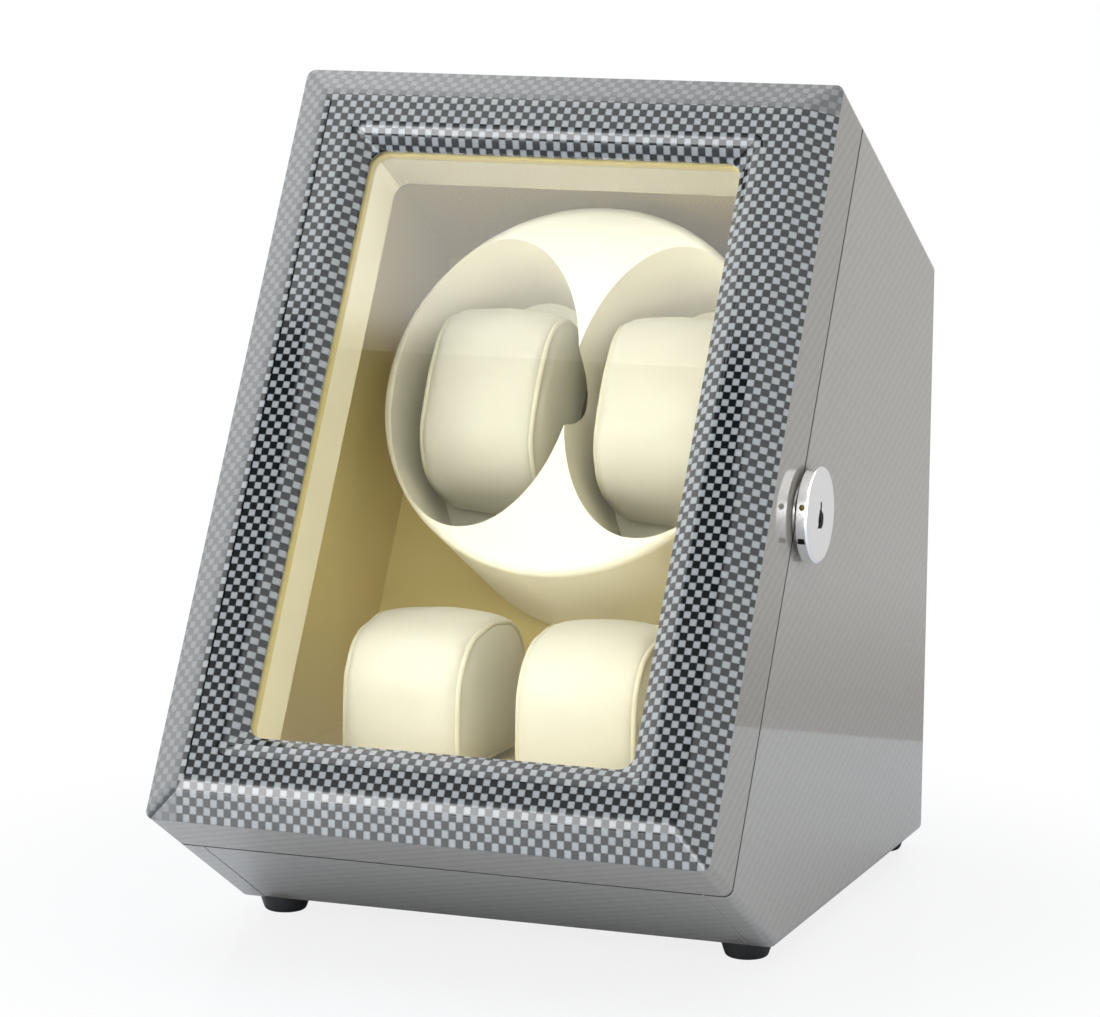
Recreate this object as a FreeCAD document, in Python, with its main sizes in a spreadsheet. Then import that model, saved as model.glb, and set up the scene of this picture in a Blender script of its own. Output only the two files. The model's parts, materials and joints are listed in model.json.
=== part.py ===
import FreeCAD, Part

import math
import os

import Sketcher
from FreeCAD import Placement, Rotation, Vector

# Tilted watch winder box: a lacquered case, a glazed door hinged on the left and locked on the right,
# a two-cup drum turned by a belt drive, and a storage bay below it.
# Frame: X to the right, -Y to the front, Z up, origin under the middle of the overall box.
# Sloping pieces are given by v, the way up along the door, and w, the depth behind the door's front plane,
# both measured from the door's lower front edge.

# Driving dimensions in millimetres, degrees and counts: name, value, what it is
DIMENSIONS = (
    ("case_width", 160, "width of the case and of the door"),
    ("tilt", 29.6, "lean of the door back from upright, degrees"),
    ("door_depth", 28, "front plane to the seam between door and case"),
    ("rear_margin", 3, "drive board to the rear edge of the top"),
    ("sill_depth", 76.5, "front plane to the front edge of the base"),
    ("wall", 8, "thickness of the case panels"),
    ("seam", 0.6, "gap between door and case"),
    ("edge_round", 2.5, "rounding of the outer edges"),
    ("fit_gap", 0.2, "gap round a seated piece"),
    ("soft_gap", 0.3, "gap under a cushion"),
    ("run_gap", 0.3, "gap between faces that turn past each other"),
    ("run_clear", 0.05, "radial clearance of a running fit"),
    ("overcut", 1, "length by which a cutter passes a face"),
    ("foot_drop", 5, "height of the feet"),
    ("foot_top", 7.5, "radius of a foot at the base"),
    ("foot_bottom", 5.8, "radius of a foot at the table"),
    ("foot_round", 1.4, "rounding of a foot's lower edge"),
    ("foot_side", 11, "foot centre in from the side"),
    ("foot_end", 8, "foot centre in from the base's ends"),
    ("frame_width", 25, "width of the door frame's rails"),
    ("bevel_width", 9, "width of the outer bevel"),
    ("bevel_depth", 5, "depth of the outer bevel"),
    ("lip_width", 4.5, "width of the bevel round the window"),
    ("lip_depth", 4, "depth of the bevel round the window"),
    ("window_round", 4.5, "corner radius of the window"),
    ("lip_round", 1.5, "corner radius of the lip's outer edge"),
    ("glass_seat", 5.5, "front plane to the glass"),
    ("glass_thickness", 2.5, "thickness of the glass"),
    ("rebate", 5, "ledge that the glass seats on"),
    ("liner", 2, "thickness of the lining boards"),
    ("liner_setback", 0.5, "lining behind the case's front edge"),
    ("shelf_rise", 40, "floor of the storage bay above the base's underside"),
    ("drive_board", 6, "thickness of the board that carries the drive"),
    ("drum_bay_gap", 6.9, "storage cushions to the drum, along the slope"),
    ("drum_top_gap", 7.3, "drum to the lining above it"),
    ("drum_front", 52.3, "front plane to the drum's face"),
    ("drum_radius", 57.3, "radius of the drum's face"),
    ("drum_length", 55.7, "length of the drum"),
    ("drum_taper", 2.3, "radius lost towards the back"),
    ("drum_wall", 2.4, "wall of the drum's skirt"),
    ("drum_face", 3, "thickness of the drum's face"),
    ("drum_round", 3.2, "rounding of the drum's front edge"),
    ("cup_rim", 3.3, "drum's face outside a cup's mouth, level with the axis"),
    ("cup_land", 1.3, "drum's face outside a cup's mouth, where it is narrowest"),
    ("cup_lap", 1, "cup's mouth past the middle of the drum"),
    ("cup_draft", 2.6, "cup half width lost at its floor"),
    ("cup_depth", 40, "depth of a cup"),
    ("cup_wall", 1.6, "wall of a cup"),
    ("cup_floor", 2.4, "floor of a cup"),
    ("back_plate", 3, "thickness of the drum's back"),
    ("hub_radius", 9, "radius of the drum's hub"),
    ("hub_length", 11, "length of the drum's hub"),
    ("hub_bore", 8, "depth of the spindle in the hub"),
    ("spindle_radius", 4, "radius of the spindle"),
    ("spindle_tail", 2, "spindle behind its clip"),
    ("clip_groove", 0.7, "depth of the clip's groove"),
    ("clip_thickness", 1, "thickness of the clip"),
    ("clip_radius", 7, "outer radius of the clip"),
    ("bush_radius", 7, "radius of the bush in its board"),
    ("bush_flange", 11, "radius of the bush's flange"),
    ("bush_head", 4.7, "thickness of the bush's flange"),
    ("bush_tail", 2, "bush behind its board"),
    ("pulley_width", 8, "width of both pulleys"),
    ("pulley_pitch", 30, "belt radius on the driven pulley"),
    ("pinion_pitch", 6, "belt radius on the motor pulley"),
    ("belt_span", 58, "spindle to motor shaft"),
    ("belt_side", 2.6, "side of the square belt"),
    ("belt_rim", 1.6, "pulley rim outside the belt"),
    ("pulley_web", 3, "thickness of the driven pulley's web"),
    ("motor_shaft_radius", 1.5, "radius of the motor shaft"),
    ("motor_plate", 2, "thickness of the motor plate"),
    ("motor_plate_gap", 3, "pulleys to motor plate"),
    ("motor_plate_half_width", 28, "half the width of the motor plate"),
    ("motor_plate_half_height", 25, "half the height of the motor plate"),
    ("post_x", 23.5, "motor post from the shaft, across"),
    ("post_v", 20, "motor post from the shaft, along the slope"),
    ("post_radius", 3.2, "radius of a motor post"),
    ("gearbox_radius", 18, "radius of the gearbox"),
    ("gearbox_length", 16, "length of the gearbox"),
    ("can_radius", 13.5, "radius of the motor can"),
    ("can_length", 21, "length of the motor can"),
    ("can_round", 1.5, "rounding of the motor can"),
    ("cushion_width", 39.5, "cushion across its bulging ends"),
    ("cushion_band", 34, "cushion between its two seams"),
    ("cushion_span", 57, "length of a cushion's base"),
    ("cushion_rise", 42, "height of a cushion at its seams"),
    ("cushion_crown", 1.2, "swell of the band between the seams"),
    ("cushion_tuck", 6, "inset of a cushion's end panels"),
    ("cushion_shoulder", 20, "radius of a cushion's shoulders"),
    ("cushion_corner", 7, "radius at a cushion's base"),
    ("cushion_top", 45, "radius of a cushion's top"),
    ("storage_offset", 25.5, "storage cushion centre from the middle"),
    ("storage_setback", 81, "storage cushion centre behind the door's lower edge"),
    ("lock_drop", 2, "lock axis below the middle of the door"),
    ("lock_setback", 7, "lock axis behind the seam"),
    ("lock_radius", 13.3, "radius of the lock's face"),
    ("lock_plate", 3.4, "thickness of the lock's face"),
    ("lock_round", 0.8, "rounding of the lock's rim"),
    ("lock_standoff", 1.2, "lock's face off the case"),
    ("lock_boss", 8.5, "radius of the boss under the lock's face"),
    ("keyhole_radius", 1.7, "radius of the keyhole's eye"),
    ("keyhole_width", 1.5, "width of the keyhole's slot"),
    ("keyhole_length", 4.2, "length of the keyhole's slot"),
    ("barrel_radius", 5, "radius of the lock's barrel"),
    ("plug_radius", 3.5, "radius of the lock's plug"),
    ("plug_setback", 0.2, "plug behind the lock's face"),
    ("keyway_depth", 9, "depth of the key slot in the plug"),
    ("nut_flats", 12.5, "lock nut across its flats"),
    ("nut_thickness", 2.4, "thickness of the lock nut"),
    ("hook_thickness", 2, "thickness of the hook"),
    ("hook_inner", 9, "inner radius of the hook"),
    ("hook_outer", 13, "outer radius of the hook"),
    ("hook_hub", 5, "radius of the hook's hub"),
    ("hook_lead", 15, "hook tip past upright at rest, degrees"),
    ("hook_sweep", 70, "arc of the hook, degrees"),
    ("hook_arm", 22, "arc of the hook's arm, degrees"),
    ("hook_screw_radius", 3, "radius of the hook screw's head"),
    ("hook_screw_head", 1.6, "height of the hook screw's head"),
    ("hook_screw_shank", 1.5, "radius of the hook screw's shank"),
    ("hook_screw_length", 5, "length of the hook screw's shank"),
    ("strike_thickness", 1, "thickness of the strike plate"),
    ("strike_margin", 3, "strike plate round its window"),
    ("strike_gap", 2, "strike plate beside the glass rebate"),
    ("strike_low", 2.5, "strike window's lower edge above the lock axis"),
    ("hook_room", 1, "room round the hook in the door"),
    ("thumb_notch", 3, "depth of the thumb notch in the door's edge"),
    ("thumb_width", 3.5, "width of the thumb notch"),
    ("hinge_end", 40, "middle of a hinge from the door's end"),
    ("hinge_length", 30, "length of a hinge"),
    ("hinge_middle", 12, "length of the middle knuckle"),
    ("hinge_out", 1.6, "hinge pin outside the case"),
    ("knuckle_radius", 2.8, "radius of a knuckle"),
    ("knuckle_gap", 0.25, "gap between knuckles"),
    ("pin_radius", 1.2, "radius of a hinge pin"),
    ("leaf_thickness", 1.2, "thickness of a hinge leaf"),
    ("leaf_width", 6.5, "width of a leaf from the case's side"),
    ("cover_width", 112, "width of the rear cover"),
    ("cover_height", 84, "height of the rear cover"),
    ("cover_round", 6, "corner radius of the rear cover"),
    ("cover_thickness", 2.5, "thickness of the rear cover"),
    ("cover_recess", 2, "rear cover below the back's face"),
    ("cover_lip", 7, "overlap of the rear cover on its ledge"),
    ("cover_rise", 92, "rear cover's middle above the base's underside"),
    ("cover_screw_in", 3.5, "cover screw in from the cover's edge"),
    ("cover_screw_head", 2.4, "radius of a cover screw's head"),
    ("cover_screw_dome", 1.1, "height of a cover screw's head"),
    ("vent_count", 9, "vent slots in the rear cover"),
    ("vent_pitch", 7, "distance between vent slots"),
    ("vent_width", 3, "width of a vent slot"),
    ("vent_length", 18, "length of a vent slot"),
    ("vent_round", 1.4, "corner radius of a vent slot"),
    ("vent_drop", 22, "middle of the vents below the cover's middle"),
    ("control_rise", 16, "knob and inlet above the cover's middle"),
    ("knob_x", 26, "knob from the middle"),
    ("knob_radius", 8.5, "radius of the mode knob"),
    ("knob_height", 7, "height of the mode knob"),
    ("knob_draft", 0.8, "radius lost towards the knob's top"),
    ("knob_round", 0.8, "rounding of the knob's top"),
    ("knob_flutes", 12, "flutes round the knob"),
    ("flute_radius", 1.1, "radius of a flute"),
    ("flute_out", 0.4, "flute centre outside the knob's radius"),
    ("pointer_width", 1.2, "width of the knob's pointer groove"),
    ("pointer_depth", 0.6, "depth of the knob's pointer groove"),
    ("stem_radius", 3, "radius of the knob's stem"),
    ("stem_length", 9, "length of the knob's stem"),
    ("switch_side", 15, "side of the switch body"),
    ("switch_depth", 9, "depth of the switch body"),
    ("jack_x", 26, "inlet from the middle"),
    ("jack_radius", 5.4, "radius of the inlet's barrel"),
    ("jack_flange", 7.2, "radius of the inlet's flange"),
    ("jack_flange_thickness", 1.5, "thickness of the inlet's flange"),
    ("jack_length", 13, "length of the inlet behind the cover's face"),
    ("jack_bore", 3.1, "radius of the inlet's bore"),
    ("jack_bore_depth", 10, "depth of the inlet's bore"),
    ("board_length", 60, "control board, across"),
    ("board_width", 36, "control board, front to back"),
    ("board_thickness", 1.6, "thickness of the control board"),
    ("board_lift", 6, "control board above the base"),
    ("board_rear_gap", 24, "control board in front of the back"),
    ("board_post_in", 4, "board post in from the board's edges"),
    ("board_post_radius", 2.5, "radius of a board post"),
    ("chip_length", 14, "length of the controller chip"),
    ("chip_width", 9, "width of the controller chip"),
    ("chip_height", 1.8, "height of the controller chip"),
    ("connector_length", 10, "length of the motor connector"),
    ("connector_width", 6, "width of the motor connector"),
    ("connector_height", 6, "height of the motor connector"),
    ("capacitor_radius", 3.2, "radius of the capacitor"),
    ("capacitor_height", 8, "height of the capacitor"),
)

# Places that follow from the driving dimensions
PLACES = (
    ("sin_tilt", "=sin(dims.tilt * 1 deg)", "sine of the lean"),
    ("cos_tilt", "=cos(dims.tilt * 1 deg)", "cosine of the lean"),
    ("base_z", "=dims.foot_drop", "underside of the base"),
    ("floor_z", "=base_z + dims.wall", "inside of the base"),
    ("shelf_z", "=base_z + dims.shelf_rise", "floor of the storage bay"),
    ("front_z", "=base_z + dims.sill_depth * sin_tilt", "door's lower front edge"),
    ("crest", "=dims.cushion_rise + dims.cushion_crown - dims.cushion_shoulder", "cushion's shoulder, up"),
    (
        "shoulder_y",
        "=dims.storage_setback + dims.cushion_span / 2 + dims.cushion_crown - dims.cushion_shoulder",
        "storage cushion's rear shoulder centre behind the door's lower edge",
    ),
    ("shoulder_z", "=shelf_z + dims.soft_gap + crest - front_z", "the same, above the door's lower edge"),
    (
        "bay_top",
        "=shoulder_y * sin_tilt + shoulder_z * cos_tilt + dims.cushion_shoulder",
        "top of the storage cushions, along the slope",
    ),
    ("drum_height", "=bay_top + dims.drum_bay_gap + dims.drum_radius", "drum axis up along the door"),
    ("drum_top", "=drum_height + dims.drum_radius + dims.drum_top_gap", "lining above the drum"),
    ("door_height", "=drum_top + dims.liner + dims.wall", "height of the door along its slope"),
    ("drum_back_w", "=dims.drum_front + dims.drum_length", "back of the drum"),
    ("display_depth", "=drum_back_w + dims.run_gap + dims.bush_head", "lining behind the drum"),
    ("board_w", "=display_depth + dims.liner", "front of the drive board"),
    ("board_back_w", "=board_w + dims.drive_board", "back of the drive board"),
    ("top_depth", "=board_back_w + dims.rear_margin", "front plane to the rear edge of the top"),
    ("knob_proud", "=dims.knob_height + dims.run_gap - dims.cover_recess", "knob behind the back"),
    ("case_reach", "=door_height * sin_tilt + top_depth * cos_tilt", "door's lower edge to the back"),
    (
        "front_y",
        "=-(dims.bevel_depth * cos_tilt + case_reach + knob_proud) / 2",
        "door's lower front edge",
    ),
    ("rear_y", "=front_y + case_reach", "back face"),
    ("rear_top_z", "=front_z + door_height * cos_tilt - top_depth * sin_tilt", "rear top edge"),
    ("case_w", "=dims.door_depth + dims.seam / 2", "front edge of the case"),
    ("door_w", "=dims.door_depth - dims.seam / 2", "back face of the door"),
    ("liner_w", "=case_w + dims.liner_setback", "front edge of the lining"),
    ("half_width", "=dims.case_width / 2", "outer face of a side"),
    ("inner_width", "=half_width - dims.wall", "inner face of a side"),
    ("lined_width", "=inner_width - dims.liner", "face of the side lining"),
    ("inner_top", "=door_height - dims.wall", "underside of the top, along the slope"),
    ("window_half", "=half_width - dims.frame_width", "half the width of the window"),
    ("window_top", "=door_height - dims.frame_width", "upper edge of the window"),
    (
        "board_top",
        "=min(inner_top; (case_reach - dims.wall - dims.fit_gap - board_back_w * cos_tilt) / sin_tilt)",
        "upper edge of the drive board, under the top and in front of the back",
    ),
    ("cup_mouth", "=(dims.drum_radius - dims.cup_rim + dims.cup_lap) / 2", "half the width of a cup's mouth"),
    ("cup_offset", "=cup_mouth - dims.cup_lap", "cup centre from the drum axis"),
    ("cup_reach", "=dims.drum_radius - dims.cup_land", "farthest point of a cup's mouth from the axis"),
    ("cup_square", "=cup_reach ^ 2 + cup_mouth ^ 2 - cup_offset ^ 2", "helps to find the cup's height"),
    (
        "cup_half_height",
        "=sqrt((cup_square + sqrt(cup_square ^ 2 - (2 * cup_reach * cup_mouth) ^ 2)) / 2)",
        "half the height of a cup's mouth that keeps its narrowest land",
    ),
    ("pulley_w", "=board_back_w + dims.bush_tail + dims.run_gap", "front of the pulleys"),
    ("pulley_back_w", "=pulley_w + dims.pulley_width", "back of the pulleys"),
    ("belt_w", "=pulley_w + dims.pulley_width / 2", "middle of the belt"),
    ("clip_w", "=pulley_back_w + dims.fit_gap", "front of the spindle clip"),
    ("motor_plate_w", "=pulley_back_w + dims.motor_plate_gap", "front of the motor plate"),
    ("gearbox_w", "=motor_plate_w + dims.motor_plate", "front of the gearbox"),
    ("can_w", "=gearbox_w + dims.gearbox_length", "front of the motor can"),
    ("motor_height", "=drum_height - dims.belt_span", "motor shaft up along the slope"),
    ("belt_down", "=(dims.pulley_pitch - dims.pinion_pitch) / dims.belt_span", "fall of the belt's normal"),
    ("belt_out", "=sqrt(1 - belt_down ^ 2)", "reach of the belt's normal"),
    ("lock_height", "=door_height / 2 - dims.lock_drop", "lock axis up along the door"),
    ("lock_w", "=dims.door_depth + dims.lock_setback", "depth of the lock axis"),
    ("nut_x", "=lined_width - dims.nut_thickness", "inner face of the lock nut"),
    ("hook_x", "=nut_x - dims.run_gap - dims.hook_thickness", "inner face of the hook"),
    ("strike_high", "=dims.hook_outer - dims.hook_room", "strike window's upper edge above the lock"),
    ("hinge_x", "=-half_width - dims.hinge_out", "hinge pins"),
    ("hinge_low", "=dims.hinge_end", "lower hinge up along the door"),
    ("hinge_high", "=door_height - dims.hinge_end", "upper hinge up along the door"),
    ("cover_y", "=rear_y - dims.cover_recess", "outer face of the rear cover"),
    ("cover_in_y", "=cover_y - dims.cover_thickness", "inner face of the rear cover"),
    ("cover_z", "=base_z + dims.cover_rise", "middle of the rear cover"),
    ("control_z", "=cover_z + dims.control_rise", "height of knob and inlet"),
    ("board_z", "=floor_z + dims.board_lift", "underside of the control board"),
    ("board_y", "=rear_y - dims.wall - dims.board_rear_gap - dims.board_width", "control board's front"),
)

doc = FreeCAD.newDocument("watch_winder_box")
sub_parts = []


def fill_sheet(name, rows):
    sheet = doc.addObject("Spreadsheet::Sheet", name)
    for row, (alias, content, note) in enumerate(rows, start=1):
        sheet.set(f"A{row}", note)
        sheet.set(f"B{row}", str(content))
        sheet.setAlias(f"B{row}", alias)
    doc.recompute()
    return sheet


dims = fill_sheet("dims", DIMENSIONS)
places = fill_sheet("places", PLACES)


def worth(expression):
    return float(places.evalExpression(expression))


# Expressions for points on the slope


def slope_y(v, w):
    return f"places.front_y + ({v}) * places.sin_tilt + ({w}) * places.cos_tilt"


def slope_z(v, w):
    return f"places.front_z + ({v}) * places.cos_tilt - ({w}) * places.sin_tilt"


def slope_point(v, w):
    return slope_y(v, w), slope_z(v, w)


def depth_at_height(w, z):
    # Y of the plane at depth w, where it passes the height z
    return f"places.front_y + (({w}) + (({z}) - places.front_z) * places.sin_tilt) / places.cos_tilt"


def rise_at_height(v, z):
    # Y of the plane at v up the slope, where it passes the height z
    return f"places.front_y + (({v}) - (({z}) - places.front_z) * places.cos_tilt) / places.sin_tilt"


# Placing


def move(obj, x="0", y="0", z="0"):
    for axis, expression in zip("xyz", (x, y, z)):
        obj.setExpression(f"Placement.Base.{axis}", expression)
    return obj


def turn(obj, axis, angle):
    # The start angle only fixes the axis; the expression sets the real one
    obj.Placement = Placement(Vector(), Rotation(axis, 45))
    obj.setExpression("Placement.Rotation.Angle", f"({angle}) * 1 deg")
    return obj


def face_front(obj, x, v, w):
    # Local x to the right, y up along the door, z out of the door
    turn(obj, Vector(1, 0, 0), "90 - dims.tilt")
    return move(obj, x, *slope_point(v, w))


def stand_on_slope(obj, x, v, w):
    # Local x to the right, y into the box, z up along the door
    turn(obj, Vector(-1, 0, 0), "dims.tilt")
    return move(obj, x, *slope_point(v, w))


def face_rear(obj, x, y, z):
    # Local x to the right, y down, z out of the back
    turn(obj, Vector(-1, 0, 0), "90")
    return move(obj, x, y, z)


def keep(obj, label):
    obj.Label = label
    sub_parts.append(obj)
    return obj


# Sketching


def new_body(name):
    return doc.addObject("PartDesign::Body", name)


def origin_feature(body, role):
    return next(feature for feature in body.Origin.OriginFeatures if feature.Role == role)


def new_sketch(body, role, offset=None):
    sketch = body.newObject("Sketcher::SketchObject", "outline")
    sketch.AttachmentSupport = [(origin_feature(body, role), "")]
    sketch.MapMode = "FlatFace"
    if offset is not None:
        sketch.setExpression("AttachmentOffset.Base.z", offset)
    return sketch


def set_size(sketch, kind, geometry, point, expression):
    at = worth(expression)
    place = (geometry, at) if point is None else (geometry, point, at)
    index = sketch.addConstraint(Sketcher.Constraint(kind, *place))
    sketch.setExpression(f"Constraints[{index}]", expression)


def arc_between(start, end, radius, left):
    # The shorter arc from start to end whose centre is to the left or right of the way
    chord = end - start
    side = Vector(-chord.y, chord.x, 0).normalize()
    reach = math.sqrt(max(radius**2 - (chord.Length / 2) ** 2, 0))
    centre = (start + end) / 2 + side * (reach if left else -reach)
    first, last = (start, end) if left else (end, start)
    angles = [math.atan2(p.y - centre.y, p.x - centre.x) for p in (first, last)]
    return Part.ArcOfCircle(Part.Circle(centre, Vector(0, 0, 1), radius), *angles)


def outline(sketch, points, arcs=None):
    # A closed outline; arcs gives the radius of the arc that leaves a point, negative to turn right
    arcs = arcs or {}
    spots = [Vector(worth(x), worth(y), 0) for x, y in points]
    first = sketch.GeometryCount
    ends = []
    for index, start in enumerate(spots):
        end = spots[(index + 1) % len(spots)]
        if index in arcs:
            expression, left = arcs[index]
            sketch.addGeometry(arc_between(start, end, worth(expression), left))
            ends.append((1, 2) if left else (2, 1))
        else:
            sketch.addGeometry(Part.LineSegment(start, end))
            ends.append((1, 2))
    for index in range(len(spots)):
        after = (index + 1) % len(spots)
        sketch.addConstraint(
            Sketcher.Constraint("Coincident", first + index, ends[index][1], first + after, ends[after][0])
        )
    for index, (x, y) in enumerate(points):
        set_size(sketch, "DistanceX", first + index, ends[index][0], x)
        set_size(sketch, "DistanceY", first + index, ends[index][0], y)
    for index, (expression, _) in arcs.items():
        set_size(sketch, "Radius", first + index, None, expression)
    return sketch


def circle(sketch, x, y, radius):
    index = sketch.addGeometry(Part.Circle(Vector(worth(x), worth(y), 0), Vector(0, 0, 1), worth(radius)))
    # Point 3 of a circle is its centre
    set_size(sketch, "DistanceX", index, 3, x)
    set_size(sketch, "DistanceY", index, 3, y)
    set_size(sketch, "Radius", index, None, radius)
    return sketch


def rounded_rectangle(sketch, left, right, low, high, radius):
    points = (
        (f"{left} + ({radius})", low),
        (f"{right} - ({radius})", low),
        (right, f"{low} + ({radius})"),
        (right, f"{high} - ({radius})"),
        (f"{right} - ({radius})", high),
        (f"{left} + ({radius})", high),
        (left, f"{high} - ({radius})"),
        (left, f"{low} + ({radius})"),
    )
    return outline(sketch, points, {corner: (radius, True) for corner in (1, 3, 5, 7)})


# Features


def pad(body, sketch, length, backwards=False):
    feature = body.newObject("PartDesign::Pad", "pad")
    feature.Profile = sketch
    feature.Reversed = backwards
    feature.setExpression("Length", length)
    doc.recompute()
    return feature


def pocket(body, sketch, depth=None, backwards=False):
    # Without a depth it goes right through, both ways
    before = body.Shape.Volume
    feature = body.newObject("PartDesign::Pocket", "pocket")
    feature.Profile = sketch
    feature.Reversed = backwards
    if depth is None:
        feature.Type = "ThroughAll"
        feature.SideType = "Symmetric"
    else:
        feature.setExpression("Length", depth)
    doc.recompute()
    if body.Shape.Volume >= before:
        raise RuntimeError(f"{body.Name}: a pocket cuts nothing")
    return feature


def loft(body, sketches, kind="PartDesign::AdditiveLoft"):
    feature = body.newObject(kind, "loft")
    feature.Profile = sketches[0]
    feature.Sections = sketches[1:]
    feature.Ruled = True
    doc.recompute()
    return feature


def revolve(body, sketch, axis="Z_Axis"):
    feature = body.newObject("PartDesign::Revolution", "turned")
    feature.Profile = sketch
    feature.ReferenceAxis = (origin_feature(body, axis), [""])
    feature.Angle = 360
    doc.recompute()
    return feature


def round_edges(body, radius, wanted):
    base = body.Tip
    names = [f"Edge{index}" for index, edge in enumerate(base.Shape.Edges, start=1) if wanted(edge)]
    feature = body.newObject("PartDesign::Fillet", "rounding")
    feature.Base = (base, names)
    feature.setExpression("Radius", radius)
    doc.recompute()
    return feature


def turned(name, points):
    # A piece turned about its local z axis, from (radius, z) points
    body = new_body(name)
    revolve(body, outline(new_sketch(body, "XZ_Plane"), points))
    return body


def sides(points):
    # The same points mirrored to the left, in order round the outline
    return points + [(f"-({x})", y) for x, y in reversed(points)]


def box(name, length, width, height):
    solid = doc.addObject("Part::Box", name)
    for size, expression in zip(("Length", "Width", "Height"), (length, width, height)):
        solid.setExpression(size, expression)
    return solid


def cylinder(name, radius, height):
    solid = doc.addObject("Part::Cylinder", name)
    solid.setExpression("Radius", radius)
    solid.setExpression("Height", height)
    return solid


def slope_box(name, x, v, w, length, rise, depth):
    # A block from its left, lower, front corner, square to the door
    block = box(name, length, depth, rise)
    return stand_on_slope(block, x, v, w)


def cut(name, base, *tools):
    for tool in tools:
        result = doc.addObject("Part::Cut", name)
        result.Base = base
        result.Tool = tool
        base = result
    doc.recompute()
    return base


def fuse(name, *shapes):
    result = doc.addObject("Part::MultiFuse", name)
    result.Shapes = list(shapes)
    doc.recompute()
    return result


# Case panels, drawn in side view and padded across


def side_view(name, points, left, width, holes=()):
    body = new_body(name)
    sketch = outline(new_sketch(body, "YZ_Plane"), points)
    for y, z, radius in holes:
        circle(sketch, y, z, radius)
    pad(body, sketch, width)
    return move(body, left)


seam_top = slope_point("places.door_height", "places.case_w")
seam_top_inner = slope_point("places.inner_top", "places.case_w")
seam_base = slope_point("0", "places.case_w")
seam_base_inner = slope_point("dims.wall", "places.case_w")
sill_base = (slope_y("0", "dims.sill_depth"), "places.base_z")
sill_inner = (rise_at_height("dims.wall", "places.floor_z"), "places.floor_z")
rear_top = ("places.rear_y", "places.rear_top_z")
rear_base = ("places.rear_y", "places.base_z")
rear_floor = ("places.rear_y", "places.floor_z")
rear_inner_y = "places.rear_y - dims.wall"


def top_underside(y):
    # Height of the top panel's underside at a given Y
    fall = f"({y} - places.front_y) * places.sin_tilt"
    return f"places.front_z + (places.inner_top - {fall}) / places.cos_tilt"


def along_x_at(*corners):
    # Picks edges that run across the case and pass one of the corners, in side view
    spots = [(worth(y), worth(z)) for y, z in corners]

    def wanted(edge):
        first, last = (vertex.Point for vertex in (edge.Vertexes[0], edge.Vertexes[-1]))
        middle = edge.CenterOfMass
        across = abs(first.x - last.x) > 0.9 * edge.Length
        return across and any(math.hypot(middle.y - y, middle.z - z) < 0.01 for y, z in spots)

    return wanted


def on_face(x, skip_depth):
    # Picks the edges round a side's outer face, apart from the one along the seam
    def wanted(edge):
        if any(abs(vertex.X - x) > 0.01 for vertex in edge.Vertexes):
            return False
        middle = edge.CenterOfMass
        ahead = (middle.y - worth("places.front_y")) * worth("places.cos_tilt")
        below = (middle.z - worth("places.front_z")) * worth("places.sin_tilt")
        return abs(ahead - below - skip_depth) > 0.01

    return wanted


def side_board(name, left, outer_x, holes=()):
    points = (seam_base, sill_base, rear_base, rear_top, seam_top)
    body = side_view(name, points, left, "dims.wall", holes)
    round_edges(body, "dims.edge_round", along_x_at(rear_top, rear_base))
    round_edges(body, "dims.edge_round", on_face(outer_x, worth("places.case_w")))
    return body


# Hinges: knuckles round a pin along the left seam, leaves let into door and case


def hinge_cutters(name, v, w):
    recess = slope_box(
        f"{name}_recess", "-places.half_width - dims.overcut", f"{v} - dims.hinge_length / 2", w,
        "dims.leaf_width + dims.overcut", "dims.hinge_length", "dims.leaf_thickness",
    )
    relief_length = "dims.hinge_length + 2 * dims.run_gap"
    relief = cylinder(f"{name}_relief", "dims.knuckle_radius + dims.run_gap", relief_length)
    stand_on_slope(relief, "places.hinge_x", f"{v} - ({relief_length}) / 2", "dims.door_depth")
    return recess, relief


def knuckle(name, low, high):
    # Local z along the pin, zero at the middle of the hinge
    tube = cylinder(name, "dims.knuckle_radius", f"{high} - ({low})")
    return move(tube, z=low)


def hinge_leaf(name, v, spans, depth, bore):
    # A plate beside the knuckles, a tab to each knuckle, bored for the pin
    inner_x = "dims.hinge_out + dims.leaf_width"
    root_x = "dims.knuckle_radius + dims.run_gap"
    plate = box(f"{name}_plate", f"{inner_x} - ({root_x})", "dims.leaf_thickness", "dims.hinge_length")
    move(plate, root_x, depth, "-dims.hinge_length / 2")
    pieces = [plate]
    for low, high in spans:
        pieces.append(knuckle(f"{name}_knuckle", low, high))
        tab = box(f"{name}_tab", root_x, "dims.leaf_thickness", f"{high} - ({low})")
        pieces.append(move(tab, "0", depth, low))
    hole = cylinder(f"{name}_hole", bore, "dims.hinge_length + 2 * dims.overcut")
    move(hole, z="-dims.hinge_length / 2 - dims.overcut")
    leaf = cut(f"{name}_bored", fuse(f"{name}_solid", *pieces), hole)
    return stand_on_slope(leaf, "places.hinge_x", v, "dims.door_depth")


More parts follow.
